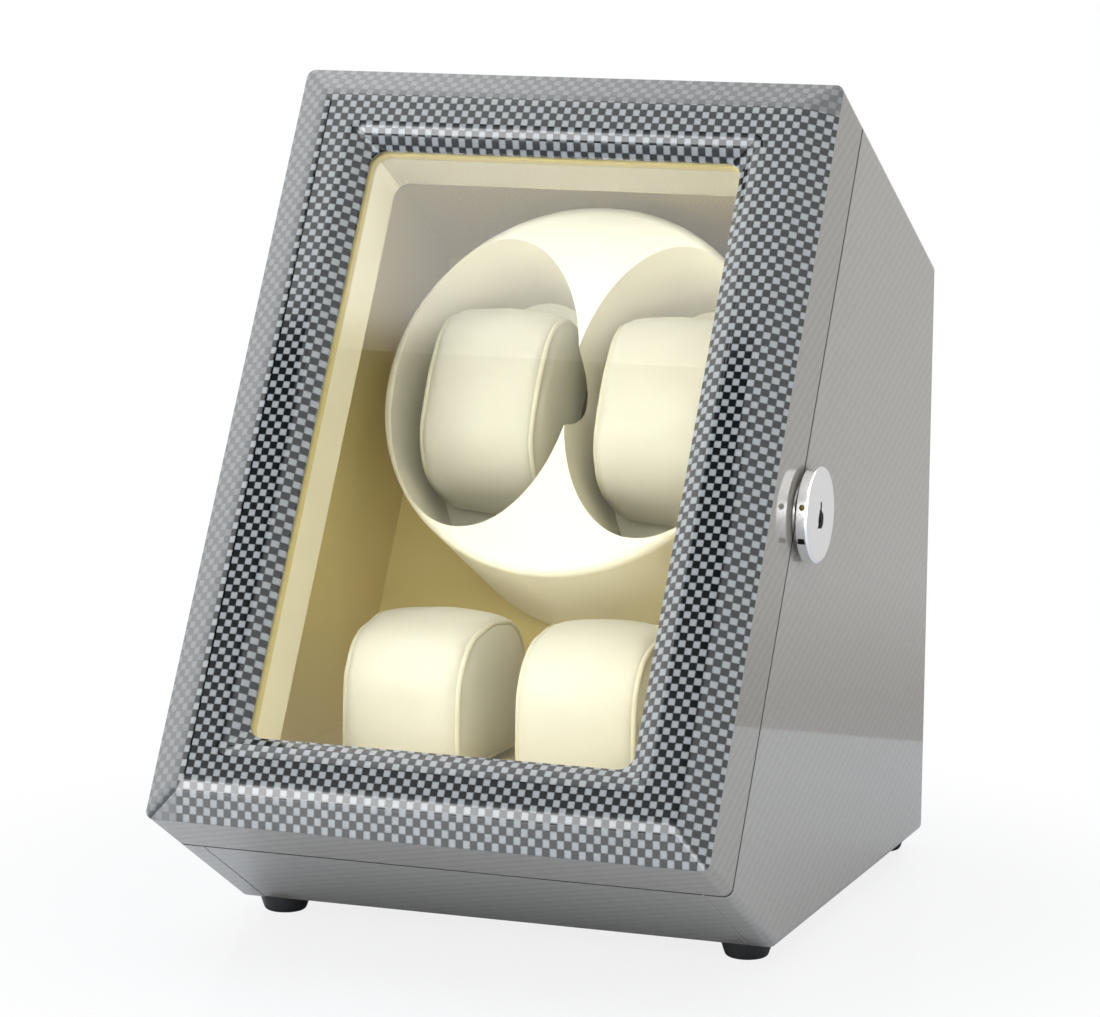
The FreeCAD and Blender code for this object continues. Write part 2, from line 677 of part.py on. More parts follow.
def hinge(name, v):
    end = "dims.hinge_length / 2"
    middle = "dims.hinge_middle / 2"
    door_leaf = hinge_leaf(
        f"{name}_door", v, [(f"-{middle}", middle)], "-dims.seam / 2 - dims.leaf_thickness",
        "dims.pin_radius + dims.run_clear",
    )
    keep(door_leaf, f"{name}_door_leaf")
    outer_spans = [(f"-{end}", f"-{middle} - dims.knuckle_gap"), (f"{middle} + dims.knuckle_gap", end)]
    case_leaf = hinge_leaf(f"{name}_case", v, outer_spans, "dims.seam / 2", "dims.pin_radius")
    keep(case_leaf, f"{name}_case_leaf")
    pin = cylinder(f"{name}_rod", "dims.pin_radius", "dims.hinge_length")
    stand_on_slope(pin, "places.hinge_x", f"{v} - {end}", "dims.door_depth")
    keep(pin, f"{name}_pin")


hinges = (("hinge_lower", "places.hinge_low"), ("hinge_upper", "places.hinge_high"))
for hinge_name, hinge_v in hinges:
    hinge(hinge_name, hinge_v)

left_cutters = []
for hinge_name, hinge_v in hinges:
    left_cutters.extend(hinge_cutters(f"{hinge_name}_case", hinge_v, "places.case_w"))
left_board = side_board("left_board", "-places.half_width", 0)
keep(cut("left_side", left_board, *left_cutters), "side_panel_left")

lock_point = slope_point("places.lock_height", "places.lock_w")
lock_hole = (*lock_point, "dims.barrel_radius")
right_board = side_board("right_board", "places.inner_width", worth("dims.wall"), [lock_hole])
keep(right_board, "side_panel_right")

across = "2 * places.inner_width"
top_board = side_view(
    "top_board",
    (seam_top, seam_top_inner, ("places.rear_y", top_underside("places.rear_y")), rear_top),
    "-places.inner_width",
    across,
)
round_edges(top_board, "dims.edge_round", along_x_at(rear_top))
keep(top_board, "top_panel")

base_outline = (sill_base, rear_base, rear_floor, sill_inner)
base_board = side_view("base_board", base_outline, "-places.inner_width", across)
round_edges(base_board, "dims.edge_round", along_x_at(rear_base))
keep(base_board, "base_panel")

sill_board = side_view(
    "sill_board", (seam_base, sill_base, sill_inner, seam_base_inner), "-places.inner_width", across
)
keep(sill_board, "sill_panel")


# Back with a ledge for the rear cover


def rear_block(name, half_width, half_height, radius, length, y, z, holes=()):
    body = new_body(name)
    sketch = new_sketch(body, "XY_Plane")
    rounded_rectangle(sketch, f"-({half_width})", half_width, f"-({half_height})", half_height, radius)
    for x, drop, hole_radius in holes:
        circle(sketch, x, drop, hole_radius)
    pad(body, sketch, length)
    return face_rear(body, "0", y, z)


back_board = side_view(
    "back_board",
    (
        (rear_inner_y, "places.floor_z"),
        rear_floor,
        ("places.rear_y", top_underside("places.rear_y")),
        (rear_inner_y, top_underside(rear_inner_y)),
    ),
    "-places.inner_width",
    across,
)
cover_ledge = rear_block(
    "cover_ledge", "dims.cover_width / 2 + dims.fit_gap", "dims.cover_height / 2 + dims.fit_gap",
    "dims.cover_round", "dims.cover_recess + dims.cover_thickness + dims.overcut",
    "places.cover_in_y", "places.cover_z",
)
cover_mouth = rear_block(
    "cover_mouth", "dims.cover_width / 2 - dims.cover_lip", "dims.cover_height / 2 - dims.cover_lip",
    "dims.cover_round", "dims.wall + 2 * dims.overcut", f"{rear_inner_y} - dims.overcut", "places.cover_z",
)
keep(cut("back_opened", back_board, cover_ledge, cover_mouth), "back_panel")

cover_holes = [
    ("dims.knob_x", "-dims.control_rise", "dims.stem_radius + dims.run_gap"),
    ("-dims.jack_x", "-dims.control_rise", "dims.jack_radius"),
]
cover = rear_block(
    "cover", "dims.cover_width / 2", "dims.cover_height / 2", "dims.cover_round", "dims.cover_thickness",
    "places.cover_in_y", "places.cover_z", cover_holes,
)
vent = new_sketch(cover, "XY_Plane")
vent_row = "(dims.vent_count - 1) * dims.vent_pitch"
rounded_rectangle(
    vent, f"-({vent_row}) / 2 - dims.vent_width / 2", f"-({vent_row}) / 2 + dims.vent_width / 2",
    "dims.vent_drop - dims.vent_length / 2", "dims.vent_drop + dims.vent_length / 2", "dims.vent_round",
)
first_vent = pocket(cover, vent)
vents = cover.newObject("PartDesign::LinearPattern", "vents")
vents.Originals = [first_vent]
vents.Direction = (vent, ["H_Axis"])
vents.setExpression("Length", vent_row)
vents.setExpression("Occurrences", "dims.vent_count")
cover.Tip = vents
doc.recompute()
keep(cover, "rear_cover")

cover_screws = new_body("cover_screws")
screw_heads = new_sketch(cover_screws, "XY_Plane")
for x_side in ("", "-"):
    for z_side in ("", "-"):
        circle(
            screw_heads,
            f"{x_side}(dims.cover_width / 2 - dims.cover_screw_in)",
            f"{z_side}(dims.cover_height / 2 - dims.cover_screw_in)",
            "dims.cover_screw_head",
        )
pad(cover_screws, screw_heads, "dims.cover_screw_dome")
face_rear(cover_screws, "0", "places.cover_y", "places.cover_z")
keep(cover_screws, "rear_cover_screws")

# Rear controls: the knob turns on its stem in the switch, the inlet is let into the cover

knob = turned(
    "knob",
    (
        ("0", "-dims.stem_length"),
        ("dims.stem_radius", "-dims.stem_length"),
        ("dims.stem_radius", "0"),
        ("dims.knob_radius", "0"),
        ("dims.knob_radius - dims.knob_draft", "dims.knob_height"),
        ("0", "dims.knob_height"),
    ),
)
knob_top = worth("dims.knob_height")
round_edges(knob, "dims.knob_round", lambda edge: all(abs(v.Z - knob_top) < 0.01 for v in edge.Vertexes))
flute_sketch = new_sketch(knob, "XY_Plane")
flute = circle(flute_sketch, "dims.knob_radius + dims.flute_out", "0", "dims.flute_radius")
first_flute = pocket(knob, flute, "dims.knob_height + dims.overcut", backwards=True)
flutes = knob.newObject("PartDesign::PolarPattern", "flutes")
flutes.Originals = [first_flute]
flutes.Axis = (origin_feature(knob, "Z_Axis"), [""])
flutes.Angle = 360
flutes.setExpression("Occurrences", "dims.knob_flutes")
knob.Tip = flutes
doc.recompute()
pointer = new_sketch(knob, "XY_Plane", "dims.knob_height")
pointer_end = "dims.knob_radius - dims.knob_draft - dims.knob_round"
outline(
    pointer,
    (
        ("-dims.pointer_width / 2", "-(" + pointer_end + ")"),
        ("dims.pointer_width / 2", "-(" + pointer_end + ")"),
        ("dims.pointer_width / 2", "0"),
        ("-dims.pointer_width / 2", "0"),
    ),
)
pocket(knob, pointer, "dims.pointer_depth")
face_rear(knob, "dims.knob_x", "places.cover_y + dims.run_gap", "places.control_z")
keep(knob, "mode_knob")

switch = new_body("switch")
switch_outline = new_sketch(switch, "XY_Plane")
half_switch = "dims.switch_side / 2"
outline(
    switch_outline,
    (
        (f"-{half_switch}", f"-{half_switch}"),
        (half_switch, f"-{half_switch}"),
        (half_switch, half_switch),
        (f"-{half_switch}", half_switch),
    ),
)
circle(switch_outline, "0", "0", "dims.stem_radius + dims.run_clear")
pad(switch, switch_outline, "dims.switch_depth", backwards=True)
face_rear(switch, "dims.knob_x", "places.cover_in_y", "places.control_z")
keep(switch, "mode_switch")

jack = turned(
    "jack",
    (
        ("0", "-dims.jack_length"),
        ("dims.jack_radius", "-dims.jack_length"),
        ("dims.jack_radius", "0"),
        ("dims.jack_flange", "0"),
        ("dims.jack_flange", "dims.jack_flange_thickness"),
        ("dims.jack_bore", "dims.jack_flange_thickness"),
        ("dims.jack_bore", "dims.jack_flange_thickness - dims.jack_bore_depth"),
        ("0", "dims.jack_flange_thickness - dims.jack_bore_depth"),
    ),
)
face_rear(jack, "-dims.jack_x", "places.cover_y", "places.control_z")
keep(jack, "dc_jack")

# Feet

foot_points = (
    ("0", "0"),
    ("dims.foot_bottom", "0"),
    ("dims.foot_top", "dims.foot_drop"),
    ("0", "dims.foot_drop"),
)
foot_ends = (
    ("front", f"{sill_base[0]} + dims.foot_end"),
    ("rear", "places.rear_y - dims.foot_end"),
)
for foot_end, foot_y in foot_ends:
    for foot_side, side_sign in (("left", "-"), ("right", "")):
        foot = turned(f"{foot_end}_{foot_side}", foot_points)
        round_edges(foot, "dims.foot_round", lambda edge: all(abs(v.Z) < 0.01 for v in edge.Vertexes))
        move(foot, f"{side_sign}(places.half_width - dims.foot_side)", foot_y)
        keep(foot, f"foot_{foot_end}_{foot_side}")

# Lining and storage bay

shelf_front = (depth_at_height("places.liner_w", "places.shelf_z"), "places.shelf_z")
shelf_back = (depth_at_height("places.display_depth", "places.shelf_z"), "places.shelf_z")
liner_front = slope_point("places.inner_top", "places.liner_w")
liner_back = slope_point("places.inner_top", "places.display_depth")
side_lining = (shelf_front, shelf_back, liner_back, liner_front)
keep(side_view("left_lining", side_lining, "-places.inner_width", "dims.liner"), "liner_left")
keep(side_view("right_lining", side_lining, "places.lined_width", "dims.liner", [lock_hole]), "liner_right")

lined_top = "places.inner_top - dims.liner"
top_lining = (
    slope_point(lined_top, "places.liner_w"),
    slope_point(lined_top, "places.display_depth"),
    liner_back,
    liner_front,
)
keep(side_view("top_lining", top_lining, "-places.lined_width", "2 * places.lined_width"), "liner_top")

plinth_outline = (
    slope_point("dims.wall", "places.liner_w"),
    sill_inner,
    (depth_at_height("places.display_depth", "places.floor_z"), "places.floor_z"),
    shelf_back,
    shelf_front,
)
keep(side_view("plinth", plinth_outline, "-places.inner_width", across), "storage_plinth")

panel_foot = "(places.floor_z - places.front_z + places.board_back_w * places.sin_tilt) / places.cos_tilt"


def inclined_board(name, w, thickness, top):
    # A board square to the drum's axis, holed for the bush
    body = new_body(name)
    sketch = new_sketch(body, "XY_Plane")
    outline(
        sketch,
        (
            ("-places.inner_width", panel_foot),
            ("places.inner_width", panel_foot),
            ("places.inner_width", top),
            ("-places.inner_width", top),
        ),
    )
    circle(sketch, "0", "places.drum_height", "dims.bush_radius")
    pad(body, sketch, thickness, backwards=True)
    return face_front(body, "0", "0", w)


keep(inclined_board("back_lining", "places.display_depth", "dims.liner", "places.inner_top"), "back_liner")
keep(inclined_board("drive_mount", "places.board_w", "dims.drive_board", "places.board_top"), "drive_panel")

# Door: bevelled frame, rebated from behind for the glass and its retainer


def door_rectangle(body, inset, depth, radius):
    return rounded_rectangle(
        new_sketch(body, "XY_Plane", f"-({depth})"),
        f"-places.half_width + ({inset})", f"places.half_width - ({inset})",
        f"{inset}", f"places.door_height - ({inset})", radius,
    )


window_inset = "dims.frame_width"
rebate_inset = "dims.frame_width - dims.rebate"
rebate_round = "dims.window_round + dims.rebate"
glazing_inset = f"{rebate_inset} + dims.fit_gap"
glazing_round = f"{rebate_round} - dims.fit_gap"
door = new_body("door")
bevel_foot = door_rectangle(door, "0", "dims.bevel_depth", "dims.edge_round")
bevel_crest = door_rectangle(door, "dims.bevel_width", "0", "dims.edge_round")
loft(door, [bevel_foot, bevel_crest])
door_outline = door_rectangle(door, "0", "dims.bevel_depth", "dims.edge_round")
pad(door, door_outline, "places.door_w - dims.bevel_depth", backwards=True)
pocket(door, door_rectangle(door, window_inset, "0", "dims.window_round"))
lip_crest = door_rectangle(door, "dims.frame_width - dims.lip_width", "0", "dims.lip_round")
lip_foot = door_rectangle(door, window_inset, "dims.lip_depth", "dims.window_round")
loft(door, [lip_crest, lip_foot], "PartDesign::SubtractiveLoft")
glass_rebate = door_rectangle(door, rebate_inset, "dims.glass_seat", rebate_round)
pocket(door, glass_rebate, "dims.door_depth")
face_front(door, "0", "0", "0")

hook_slot_v = "places.lock_height - dims.hook_outer * sin(dims.hook_lead * 1 deg) - dims.hook_room"
strike_top = "places.lock_height + places.strike_high"
slot_left = "places.hook_x - dims.run_gap"
slot_width = "dims.hook_thickness + 2 * dims.run_gap"
slot_front = "places.lock_w - dims.hook_outer - dims.hook_room"
hook_slot = slope_box(
    "hook_slot", slot_left, hook_slot_v, slot_front,
    slot_width, f"{strike_top} - ({hook_slot_v})", "dims.hook_outer",
)
strike_left = f"places.half_width - ({rebate_inset}) + dims.strike_gap"
strike_foot = f"{hook_slot_v} - dims.strike_margin"
strike_width = f"{slot_left} + {slot_width} + dims.strike_margin - ({strike_left})"
strike_rise = f"{strike_top} + 2 * dims.strike_margin - ({hook_slot_v})"
strike_w = "places.door_w - dims.strike_thickness"
strike_recess = slope_box(
    "strike_recess", strike_left, strike_foot, strike_w, strike_width, strike_rise, "dims.door_depth"
)
thumb = cylinder("thumb_cutter", "dims.lock_setback + dims.thumb_notch", "dims.thumb_width + dims.overcut")
turn(thumb, Vector(0, 1, 0), "90")
move(thumb, "places.half_width - dims.thumb_width", *lock_point)
door_cutters = [hook_slot, strike_recess, thumb]
for hinge_name, hinge_v in hinges:
    leaf_w = "places.door_w - dims.leaf_thickness"
    door_cutters.extend(hinge_cutters(f"{hinge_name}_door", hinge_v, leaf_w))
keep(cut("door_fitted", door, *door_cutters), "door_frame")

strike = slope_box(
    "strike", strike_left, strike_foot, strike_w, strike_width, strike_rise, "dims.strike_thickness"
)
strike_window = slope_box(
    "strike_window", slot_left, "places.lock_height + dims.strike_low", f"{strike_w} - dims.overcut",
    slot_width, "places.strike_high - dims.strike_low", "dims.strike_thickness + 2 * dims.overcut",
)
keep(cut("strike_opened", strike, strike_window), "strike_plate")

glass = new_body("glass")
glass_w = "dims.glass_seat"
pane = door_rectangle(glass, glazing_inset, glass_w, glazing_round)
pad(glass, pane, "dims.glass_thickness", backwards=True)
keep(face_front(glass, "0", "0", "0"), "door_glass")

retainer = new_body("retainer")
retainer_w = f"{glass_w} + dims.glass_thickness"
retainer_ring = door_rectangle(retainer, glazing_inset, retainer_w, glazing_round)
rounded_rectangle(
    retainer_ring, "-places.window_half", "places.window_half", "dims.frame_width", "places.window_top",
    "dims.window_round",
)
pad(retainer, retainer_ring, f"places.door_w - ({retainer_w})", backwards=True)
keep(face_front(retainer, "0", "0", "0"), "glass_retainer")

# Lock on the right side, turned about X

lock_face_x = "places.half_width + dims.lock_standoff"


def along_x(name, rings, start, length):
    # A piece of one or more circles about the lock axis, padded to the right from start
    body = new_body(name)
    sketch = new_sketch(body, "YZ_Plane")
    for radius in rings:
        circle(sketch, "0", "0", radius)
    pad(body, sketch, length)
    return stand_on_slope(body, start, "places.lock_height", "places.lock_w")


escutcheon = along_x("escutcheon", ["dims.lock_boss"], "places.half_width", "dims.lock_standoff")
face_sketch = circle(new_sketch(escutcheon, "YZ_Plane", "dims.lock_standoff"), "0", "0", "dims.lock_radius")
pad(escutcheon, face_sketch, "dims.lock_plate")
rim_x = worth("dims.lock_standoff + dims.lock_plate")
round_edges(escutcheon, "dims.lock_round", lambda edge: all(abs(v.X - rim_x) < 0.01 for v in edge.Vertexes))
keyhole_eye = circle(new_sketch(escutcheon, "YZ_Plane"), "0", "0", "dims.keyhole_radius")
pocket(escutcheon, keyhole_eye)
keyhole_slot = new_sketch(escutcheon, "YZ_Plane")
half_slot = "dims.keyhole_width / 2"
outline(
    keyhole_slot,
    (
        (f"-{half_slot}", "-dims.keyhole_length"),
        (half_slot, "-dims.keyhole_length"),
        (half_slot, "0"),
        (f"-{half_slot}", "0"),
    ),
)
pocket(escutcheon, keyhole_slot)
keep(escutcheon, "lock_face")

barrel_x = "places.hook_x + dims.hook_thickness + dims.run_gap"
barrel = along_x(
    "barrel", ["dims.barrel_radius", "dims.plug_radius + dims.run_clear"], barrel_x,
    f"places.half_width - ({barrel_x})",
)
keep(barrel, "lock_barrel")

nut = new_body("nut")
nut_sketch = new_sketch(nut, "YZ_Plane")
nut_corner = "dims.nut_flats / sqrt(3)"
nut_points = [
    (f"{nut_corner} * cos({angle} * 1 deg)", f"{nut_corner} * sin({angle} * 1 deg)")
    for angle in range(30, 390, 60)
]
outline(nut_sketch, nut_points)
circle(nut_sketch, "0", "0", "dims.barrel_radius")
pad(nut, nut_sketch, "dims.nut_thickness")
keep(stand_on_slope(nut, "places.nut_x", "places.lock_height", "places.lock_w"), "lock_nut")

plug_length = "places.half_width - dims.plug_setback - places.hook_x - dims.hook_thickness"
plug_start = "places.hook_x + dims.hook_thickness"
plug = along_x("plug", ["dims.plug_radius"], plug_start, plug_length)
screw_hole = circle(new_sketch(plug, "YZ_Plane"), "0", "0", "dims.hook_screw_shank")
pocket(plug, screw_hole, "dims.hook_screw_length - dims.hook_thickness", backwards=True)
keyway = new_sketch(plug, "YZ_Plane", plug_length)
outline(
    keyway,
    (
        (f"-{half_slot}", "-dims.plug_radius + dims.run_gap"),
        (half_slot, "-dims.plug_radius + dims.run_gap"),
        (half_slot, "dims.plug_radius / 2"),
        (f"-{half_slot}", "dims.plug_radius / 2"),
    ),
)
pocket(plug, keyway, "dims.keyway_depth")
keep(plug, "lock_plug")


def ring_point(radius, angle):
    # Depth and rise of a point on the hook; the angle goes from upright towards the front
    return f"-{radius} * sin(({angle}) * 1 deg)", f"{radius} * cos(({angle}) * 1 deg)"


hook = new_body("hook")
hook_sketch = new_sketch(hook, "YZ_Plane")
tip = "dims.hook_lead"
tail = "dims.hook_lead - dims.hook_sweep"
arm = f"{tail} + dims.hook_arm"
outline(
    hook_sketch,
    (
        ring_point("dims.hook_outer", tip),
        ring_point("dims.hook_outer", tail),
        ring_point("dims.hook_hub", tail),
        ring_point("dims.hook_hub", arm),
        ring_point("dims.hook_inner", arm),
        ring_point("dims.hook_inner", tip),
    ),
    {0: ("dims.hook_outer", False), 4: ("dims.hook_inner", True)},
)
pad(hook, hook_sketch, "dims.hook_thickness")
pad(hook, circle(new_sketch(hook, "YZ_Plane"), "0", "0", "dims.hook_hub"), "dims.hook_thickness")
pocket(hook, circle(new_sketch(hook, "YZ_Plane"), "0", "0", "dims.hook_screw_shank"))
keep(stand_on_slope(hook, "places.hook_x", "places.lock_height", "places.lock_w"), "lock_hook")

hook_screw = along_x(
    "hook_screw", ["dims.hook_screw_radius"], "places.hook_x - dims.hook_screw_head", "dims.hook_screw_head"
)
shank = circle(new_sketch(hook_screw, "YZ_Plane", "dims.hook_screw_head"), "0", "0", "dims.hook_screw_shank")
pad(hook_screw, shank, "dims.hook_screw_length")
keep(hook_screw, "lock_hook_screw")

# Drum: a tapered moulding with two drafted oval cups, cored out from behind


def cup_cone(name, side, grow, depth):
    # An oval cone from the drum's face to the given depth
    ovals = []
    for end, z in (("mouth", "0"), ("floor", f"-({depth})")):
        loss = f"({z}) / dims.cup_depth * dims.cup_draft"
        oval = doc.addObject("Part::Ellipse", f"{name}_{end}")
        oval.setExpression("MajorRadius", f"places.cup_half_height + ({loss}) + ({grow})")
        oval.setExpression("MinorRadius", f"places.cup_mouth + ({loss}) + ({grow})")
        turn(oval, Vector(0, 0, 1), "90")
        ovals.append(move(oval, f"{side}places.cup_offset", "0", z))
    cone = doc.addObject("Part::Loft", name)
    cone.Sections = ovals
    cone.Solid = True
    cone.Ruled = True
    return cone


drum_blank = turned(
    "drum_blank",
    (
        ("0", "-dims.drum_length"),
        ("dims.drum_radius - dims.drum_taper", "-dims.drum_length"),
        ("dims.drum_radius", "0"),
        ("0", "0"),
    ),
)
round_edges(drum_blank, "dims.drum_round", lambda edge: all(abs(v.Z) < 0.01 for v in edge.Vertexes))
drum_core = turned(
    "drum_core",
    (
        ("0", "-dims.drum_length - dims.overcut"),
        ("dims.drum_radius - dims.drum_taper - dims.drum_wall", "-dims.drum_length - dims.overcut"),
        ("dims.drum_radius - dims.drum_wall", "-dims.drum_face"),
        ("0", "-dims.drum_face"),
    ),
)
cup_outsides = []
cup_insides = []
for cup_name, cup_sign in (("left", "-"), ("right", "")):
    outer_depth = "dims.cup_depth + dims.cup_floor"
    cup_outsides.append(cup_cone(f"cup_outside_{cup_name}", cup_sign, "dims.cup_wall", outer_depth))
    cup_insides.append(cup_cone(f"cup_inside_{cup_name}", cup_sign, "0", "dims.cup_depth"))
drum_hollow = cut("drum_hollow", drum_core, *cup_outsides)
drum = cut("drum_moulding", drum_blank, drum_hollow, *cup_insides)
keep(face_front(drum, "0", "places.drum_height", "dims.drum_front"), "drum")

plate_radius = "dims.drum_radius - dims.drum_taper - dims.drum_wall - dims.fit_gap"
drum_plate = turned(
    "drum_plate",
    (
        ("dims.spindle_radius", "0"),
        (plate_radius, "0"),
        (plate_radius, "dims.back_plate"),
        ("dims.hub_radius", "dims.back_plate"),
        ("dims.hub_radius", "dims.hub_length"),
        ("0", "dims.hub_length"),
        ("0", "dims.hub_bore"),
        ("dims.spindle_radius", "dims.hub_bore"),
    ),
)
keep(face_front(drum_plate, "0", "places.drum_height", "places.drum_back_w"), "drum_back")

# Spindle, bush, pulleys and belt; local z runs forwards from each piece's back

spindle_end = "places.clip_w + dims.clip_thickness + dims.spindle_tail"
groove_radius = "dims.spindle_radius - dims.clip_groove"
groove_low = "dims.spindle_tail"
groove_high = "dims.spindle_tail + dims.clip_thickness"
spindle_length = f"{spindle_end} - places.drum_back_w + dims.hub_bore"
spindle = turned(
    "spindle_rod",
    (
        ("0", "0"),
        ("dims.spindle_radius", "0"),
        ("dims.spindle_radius", groove_low),
        (groove_radius, groove_low),
        (groove_radius, groove_high),
        ("dims.spindle_radius", groove_high),
        ("dims.spindle_radius", spindle_length),
        ("0", spindle_length),
    ),
)
keep(face_front(spindle, "0", "places.drum_height", spindle_end), "spindle")

clip = new_body("clip")
clip_sketch = circle(new_sketch(clip, "XY_Plane"), "0", "0", "dims.clip_radius")
circle(clip_sketch, "0", "0", groove_radius)
pad(clip, clip_sketch, "dims.clip_thickness")
clip_mouth = new_sketch(clip, "XY_Plane")
mouth_half = "dims.spindle_radius / 2"
outline(
    clip_mouth,
    (
        (f"-{mouth_half}", "-dims.clip_radius - dims.overcut"),
        (mouth_half, "-dims.clip_radius - dims.overcut"),
        (mouth_half, "0"),
        (f"-{mouth_half}", "0"),
    ),
)
pocket(clip, clip_mouth)
keep(face_front(clip, "0", "places.drum_height", "places.clip_w + dims.clip_thickness"), "spindle_clip")

bush_back_w = "places.board_back_w + dims.bush_tail"
bush_shoulder = f"{bush_back_w} - places.display_depth"
bush_length = f"{bush_back_w} - places.drum_back_w - dims.run_gap"
bush = turned(
    "bush",
    (
        ("dims.spindle_radius + dims.run_clear", "0"),
        ("dims.bush_radius", "0"),
        ("dims.bush_radius", bush_shoulder),
        ("dims.bush_flange", bush_shoulder),
        ("dims.bush_flange", bush_length),
        ("dims.spindle_radius + dims.run_clear", bush_length),
    ),
)
keep(face_front(bush, "0", "places.drum_height", bush_back_w), "spindle_bush")

groove_room = "(dims.belt_side / 2 + dims.run_gap)"
groove_start = f"dims.pulley_width / 2 - {groove_room}"
groove_stop = f"dims.pulley_width / 2 + {groove_room}"


def groove(pitch):
    # The rim from the pulley's back to its front, with a square groove for the belt
    rim = f"{pitch} + dims.belt_side / 2 + dims.belt_rim"
    bed = f"{pitch} - {groove_room}"
    return [
        (rim, "0"),
        (rim, groove_start),
        (bed, groove_start),
        (bed, groove_stop),
        (rim, groove_stop),
        (rim, "dims.pulley_width"),
    ]


rim_inside = f"dims.pulley_pitch - {groove_room} - dims.belt_rim"
web_start = "dims.pulley_width / 2 - dims.pulley_web / 2"
web_stop = "dims.pulley_width / 2 + dims.pulley_web / 2"
pulley_hub_back = [
    ("dims.spindle_radius", "0"),
    ("dims.hub_radius", "0"),
    ("dims.hub_radius", web_start),
    (rim_inside, web_start),
    (rim_inside, "0"),
]
pulley_hub_front = [
    (rim_inside, "dims.pulley_width"),
    (rim_inside, web_stop),
    ("dims.hub_radius", web_stop),
    ("dims.hub_radius", "dims.pulley_width"),
    ("dims.spindle_radius", "dims.pulley_width"),
]
big_pulley = turned("big_pulley", pulley_hub_back + groove("dims.pulley_pitch") + pulley_hub_front)
keep(face_front(big_pulley, "0", "places.drum_height", "places.pulley_back_w"), "driven_pulley")

shaft_bore = [("dims.motor_shaft_radius", "dims.pulley_width"), ("dims.motor_shaft_radius", "0")]
small_pulley = turned("small_pulley", groove("dims.pinion_pitch") + shaft_bore)
keep(face_front(small_pulley, "0", "places.motor_height", "places.pulley_back_w"), "motor_pulley")


def belt_loop(sketch, offset):
    # Two tangents and two arcs round both pulleys; y is zero at the spindle
    big = f"(dims.pulley_pitch + ({offset}))"
    small = f"(dims.pinion_pitch + ({offset}))"
    points = (
        (f"{small} * places.belt_out", f"-dims.belt_span - {small} * places.belt_down"),
        (f"{big} * places.belt_out", f"-{big} * places.belt_down"),
        ("0", big),
        (f"-{big} * places.belt_out", f"-{big} * places.belt_down"),
        (f"-{small} * places.belt_out", f"-dims.belt_span - {small} * places.belt_down"),
    )
    return outline(sketch, points, {1: (big, True), 2: (big, True), 4: (small, True)})


belt = new_body("belt")
belt_sketch = belt_loop(new_sketch(belt, "XY_Plane"), "dims.belt_side / 2")
belt_loop(belt_sketch, "-dims.belt_side / 2")
pad(belt, belt_sketch, "dims.belt_side")
keep(face_front(belt, "0", "places.drum_height", "places.belt_w + dims.belt_side / 2"), "drive_belt")

# Motor behind the drive board

motor_plate = new_body("plate")
plate_sketch = rounded_rectangle(
    new_sketch(motor_plate, "XY_Plane"), "-dims.motor_plate_half_width", "dims.motor_plate_half_width",
    "-dims.motor_plate_half_height", "dims.motor_plate_half_height", "dims.post_radius",
)
circle(plate_sketch, "0", "0", "dims.pinion_pitch")
pad(motor_plate, plate_sketch, "dims.motor_plate", backwards=True)
keep(face_front(motor_plate, "0", "places.motor_height", "places.motor_plate_w"), "motor_plate")

posts = new_body("posts")
post_sketch = new_sketch(posts, "XY_Plane")
for post_x in ("dims.post_x", "-dims.post_x"):
    for post_v in ("dims.post_v", "-dims.post_v"):
        circle(post_sketch, post_x, post_v, "dims.post_radius")
pad(posts, post_sketch, "places.motor_plate_w - places.board_back_w")
keep(face_front(posts, "0", "places.motor_height", "places.motor_plate_w"), "motor_posts")

shaft_grip = "dims.gearbox_length / 2"
gears = turned(
    "gears",
    (
        ("0", "0"),
        ("dims.gearbox_radius", "0"),
        ("dims.gearbox_radius", "dims.gearbox_length"),
        ("dims.motor_shaft_radius + dims.run_clear", "dims.gearbox_length"),
        ("dims.motor_shaft_radius + dims.run_clear", shaft_grip),
        ("0", shaft_grip),
    ),
)
keep(face_front(gears, "0", "places.motor_height", "places.can_w"), "gearbox")

can = turned(
    "can",
    (("0", "0"), ("dims.can_radius", "0"), ("dims.can_radius", "dims.can_length"), ("0", "dims.can_length")),
)
round_edges(can, "dims.can_round", lambda edge: all(abs(v.Z) < 0.01 for v in edge.Vertexes))
keep(face_front(can, "0", "places.motor_height", "places.can_w + dims.can_length"), "motor_can")

shaft_w = f"places.can_w - {shaft_grip} - dims.run_gap"
shaft = cylinder("shaft", "dims.motor_shaft_radius", f"{shaft_w} - places.pulley_w")
keep(face_front(shaft, "0", "places.motor_height", shaft_w), "motor_shaft")

# Control board on its posts

board_left = "-dims.board_length / 2"
board_top = "places.board_z + dims.board_thickness"
board_middle = "places.board_y + dims.board_width / 2"
board = move(
    box("board", "dims.board_length", "dims.board_width", "dims.board_thickness"),
    board_left, "places.board_y", "places.board_z",
)
chip = move(
    box("chip", "dims.chip_length", "dims.chip_width", "dims.chip_height"),
    "-dims.chip_length / 2", f"{board_middle} - dims.chip_width / 2", board_top,
)
connector_x = "dims.board_length / 4 - dims.connector_length / 2"
connector = move(
    box("connector", "dims.connector_length", "dims.connector_width", "dims.connector_height"),
    connector_x, f"{board_middle} - dims.connector_width / 2", board_top,
)
capacitor = move(
    cylinder("capacitor", "dims.capacitor_radius", "dims.capacitor_height"),
    "-dims.board_length / 4", board_middle, board_top,
)
keep(fuse("board_filled", board, chip, connector, capacitor), "control_board")

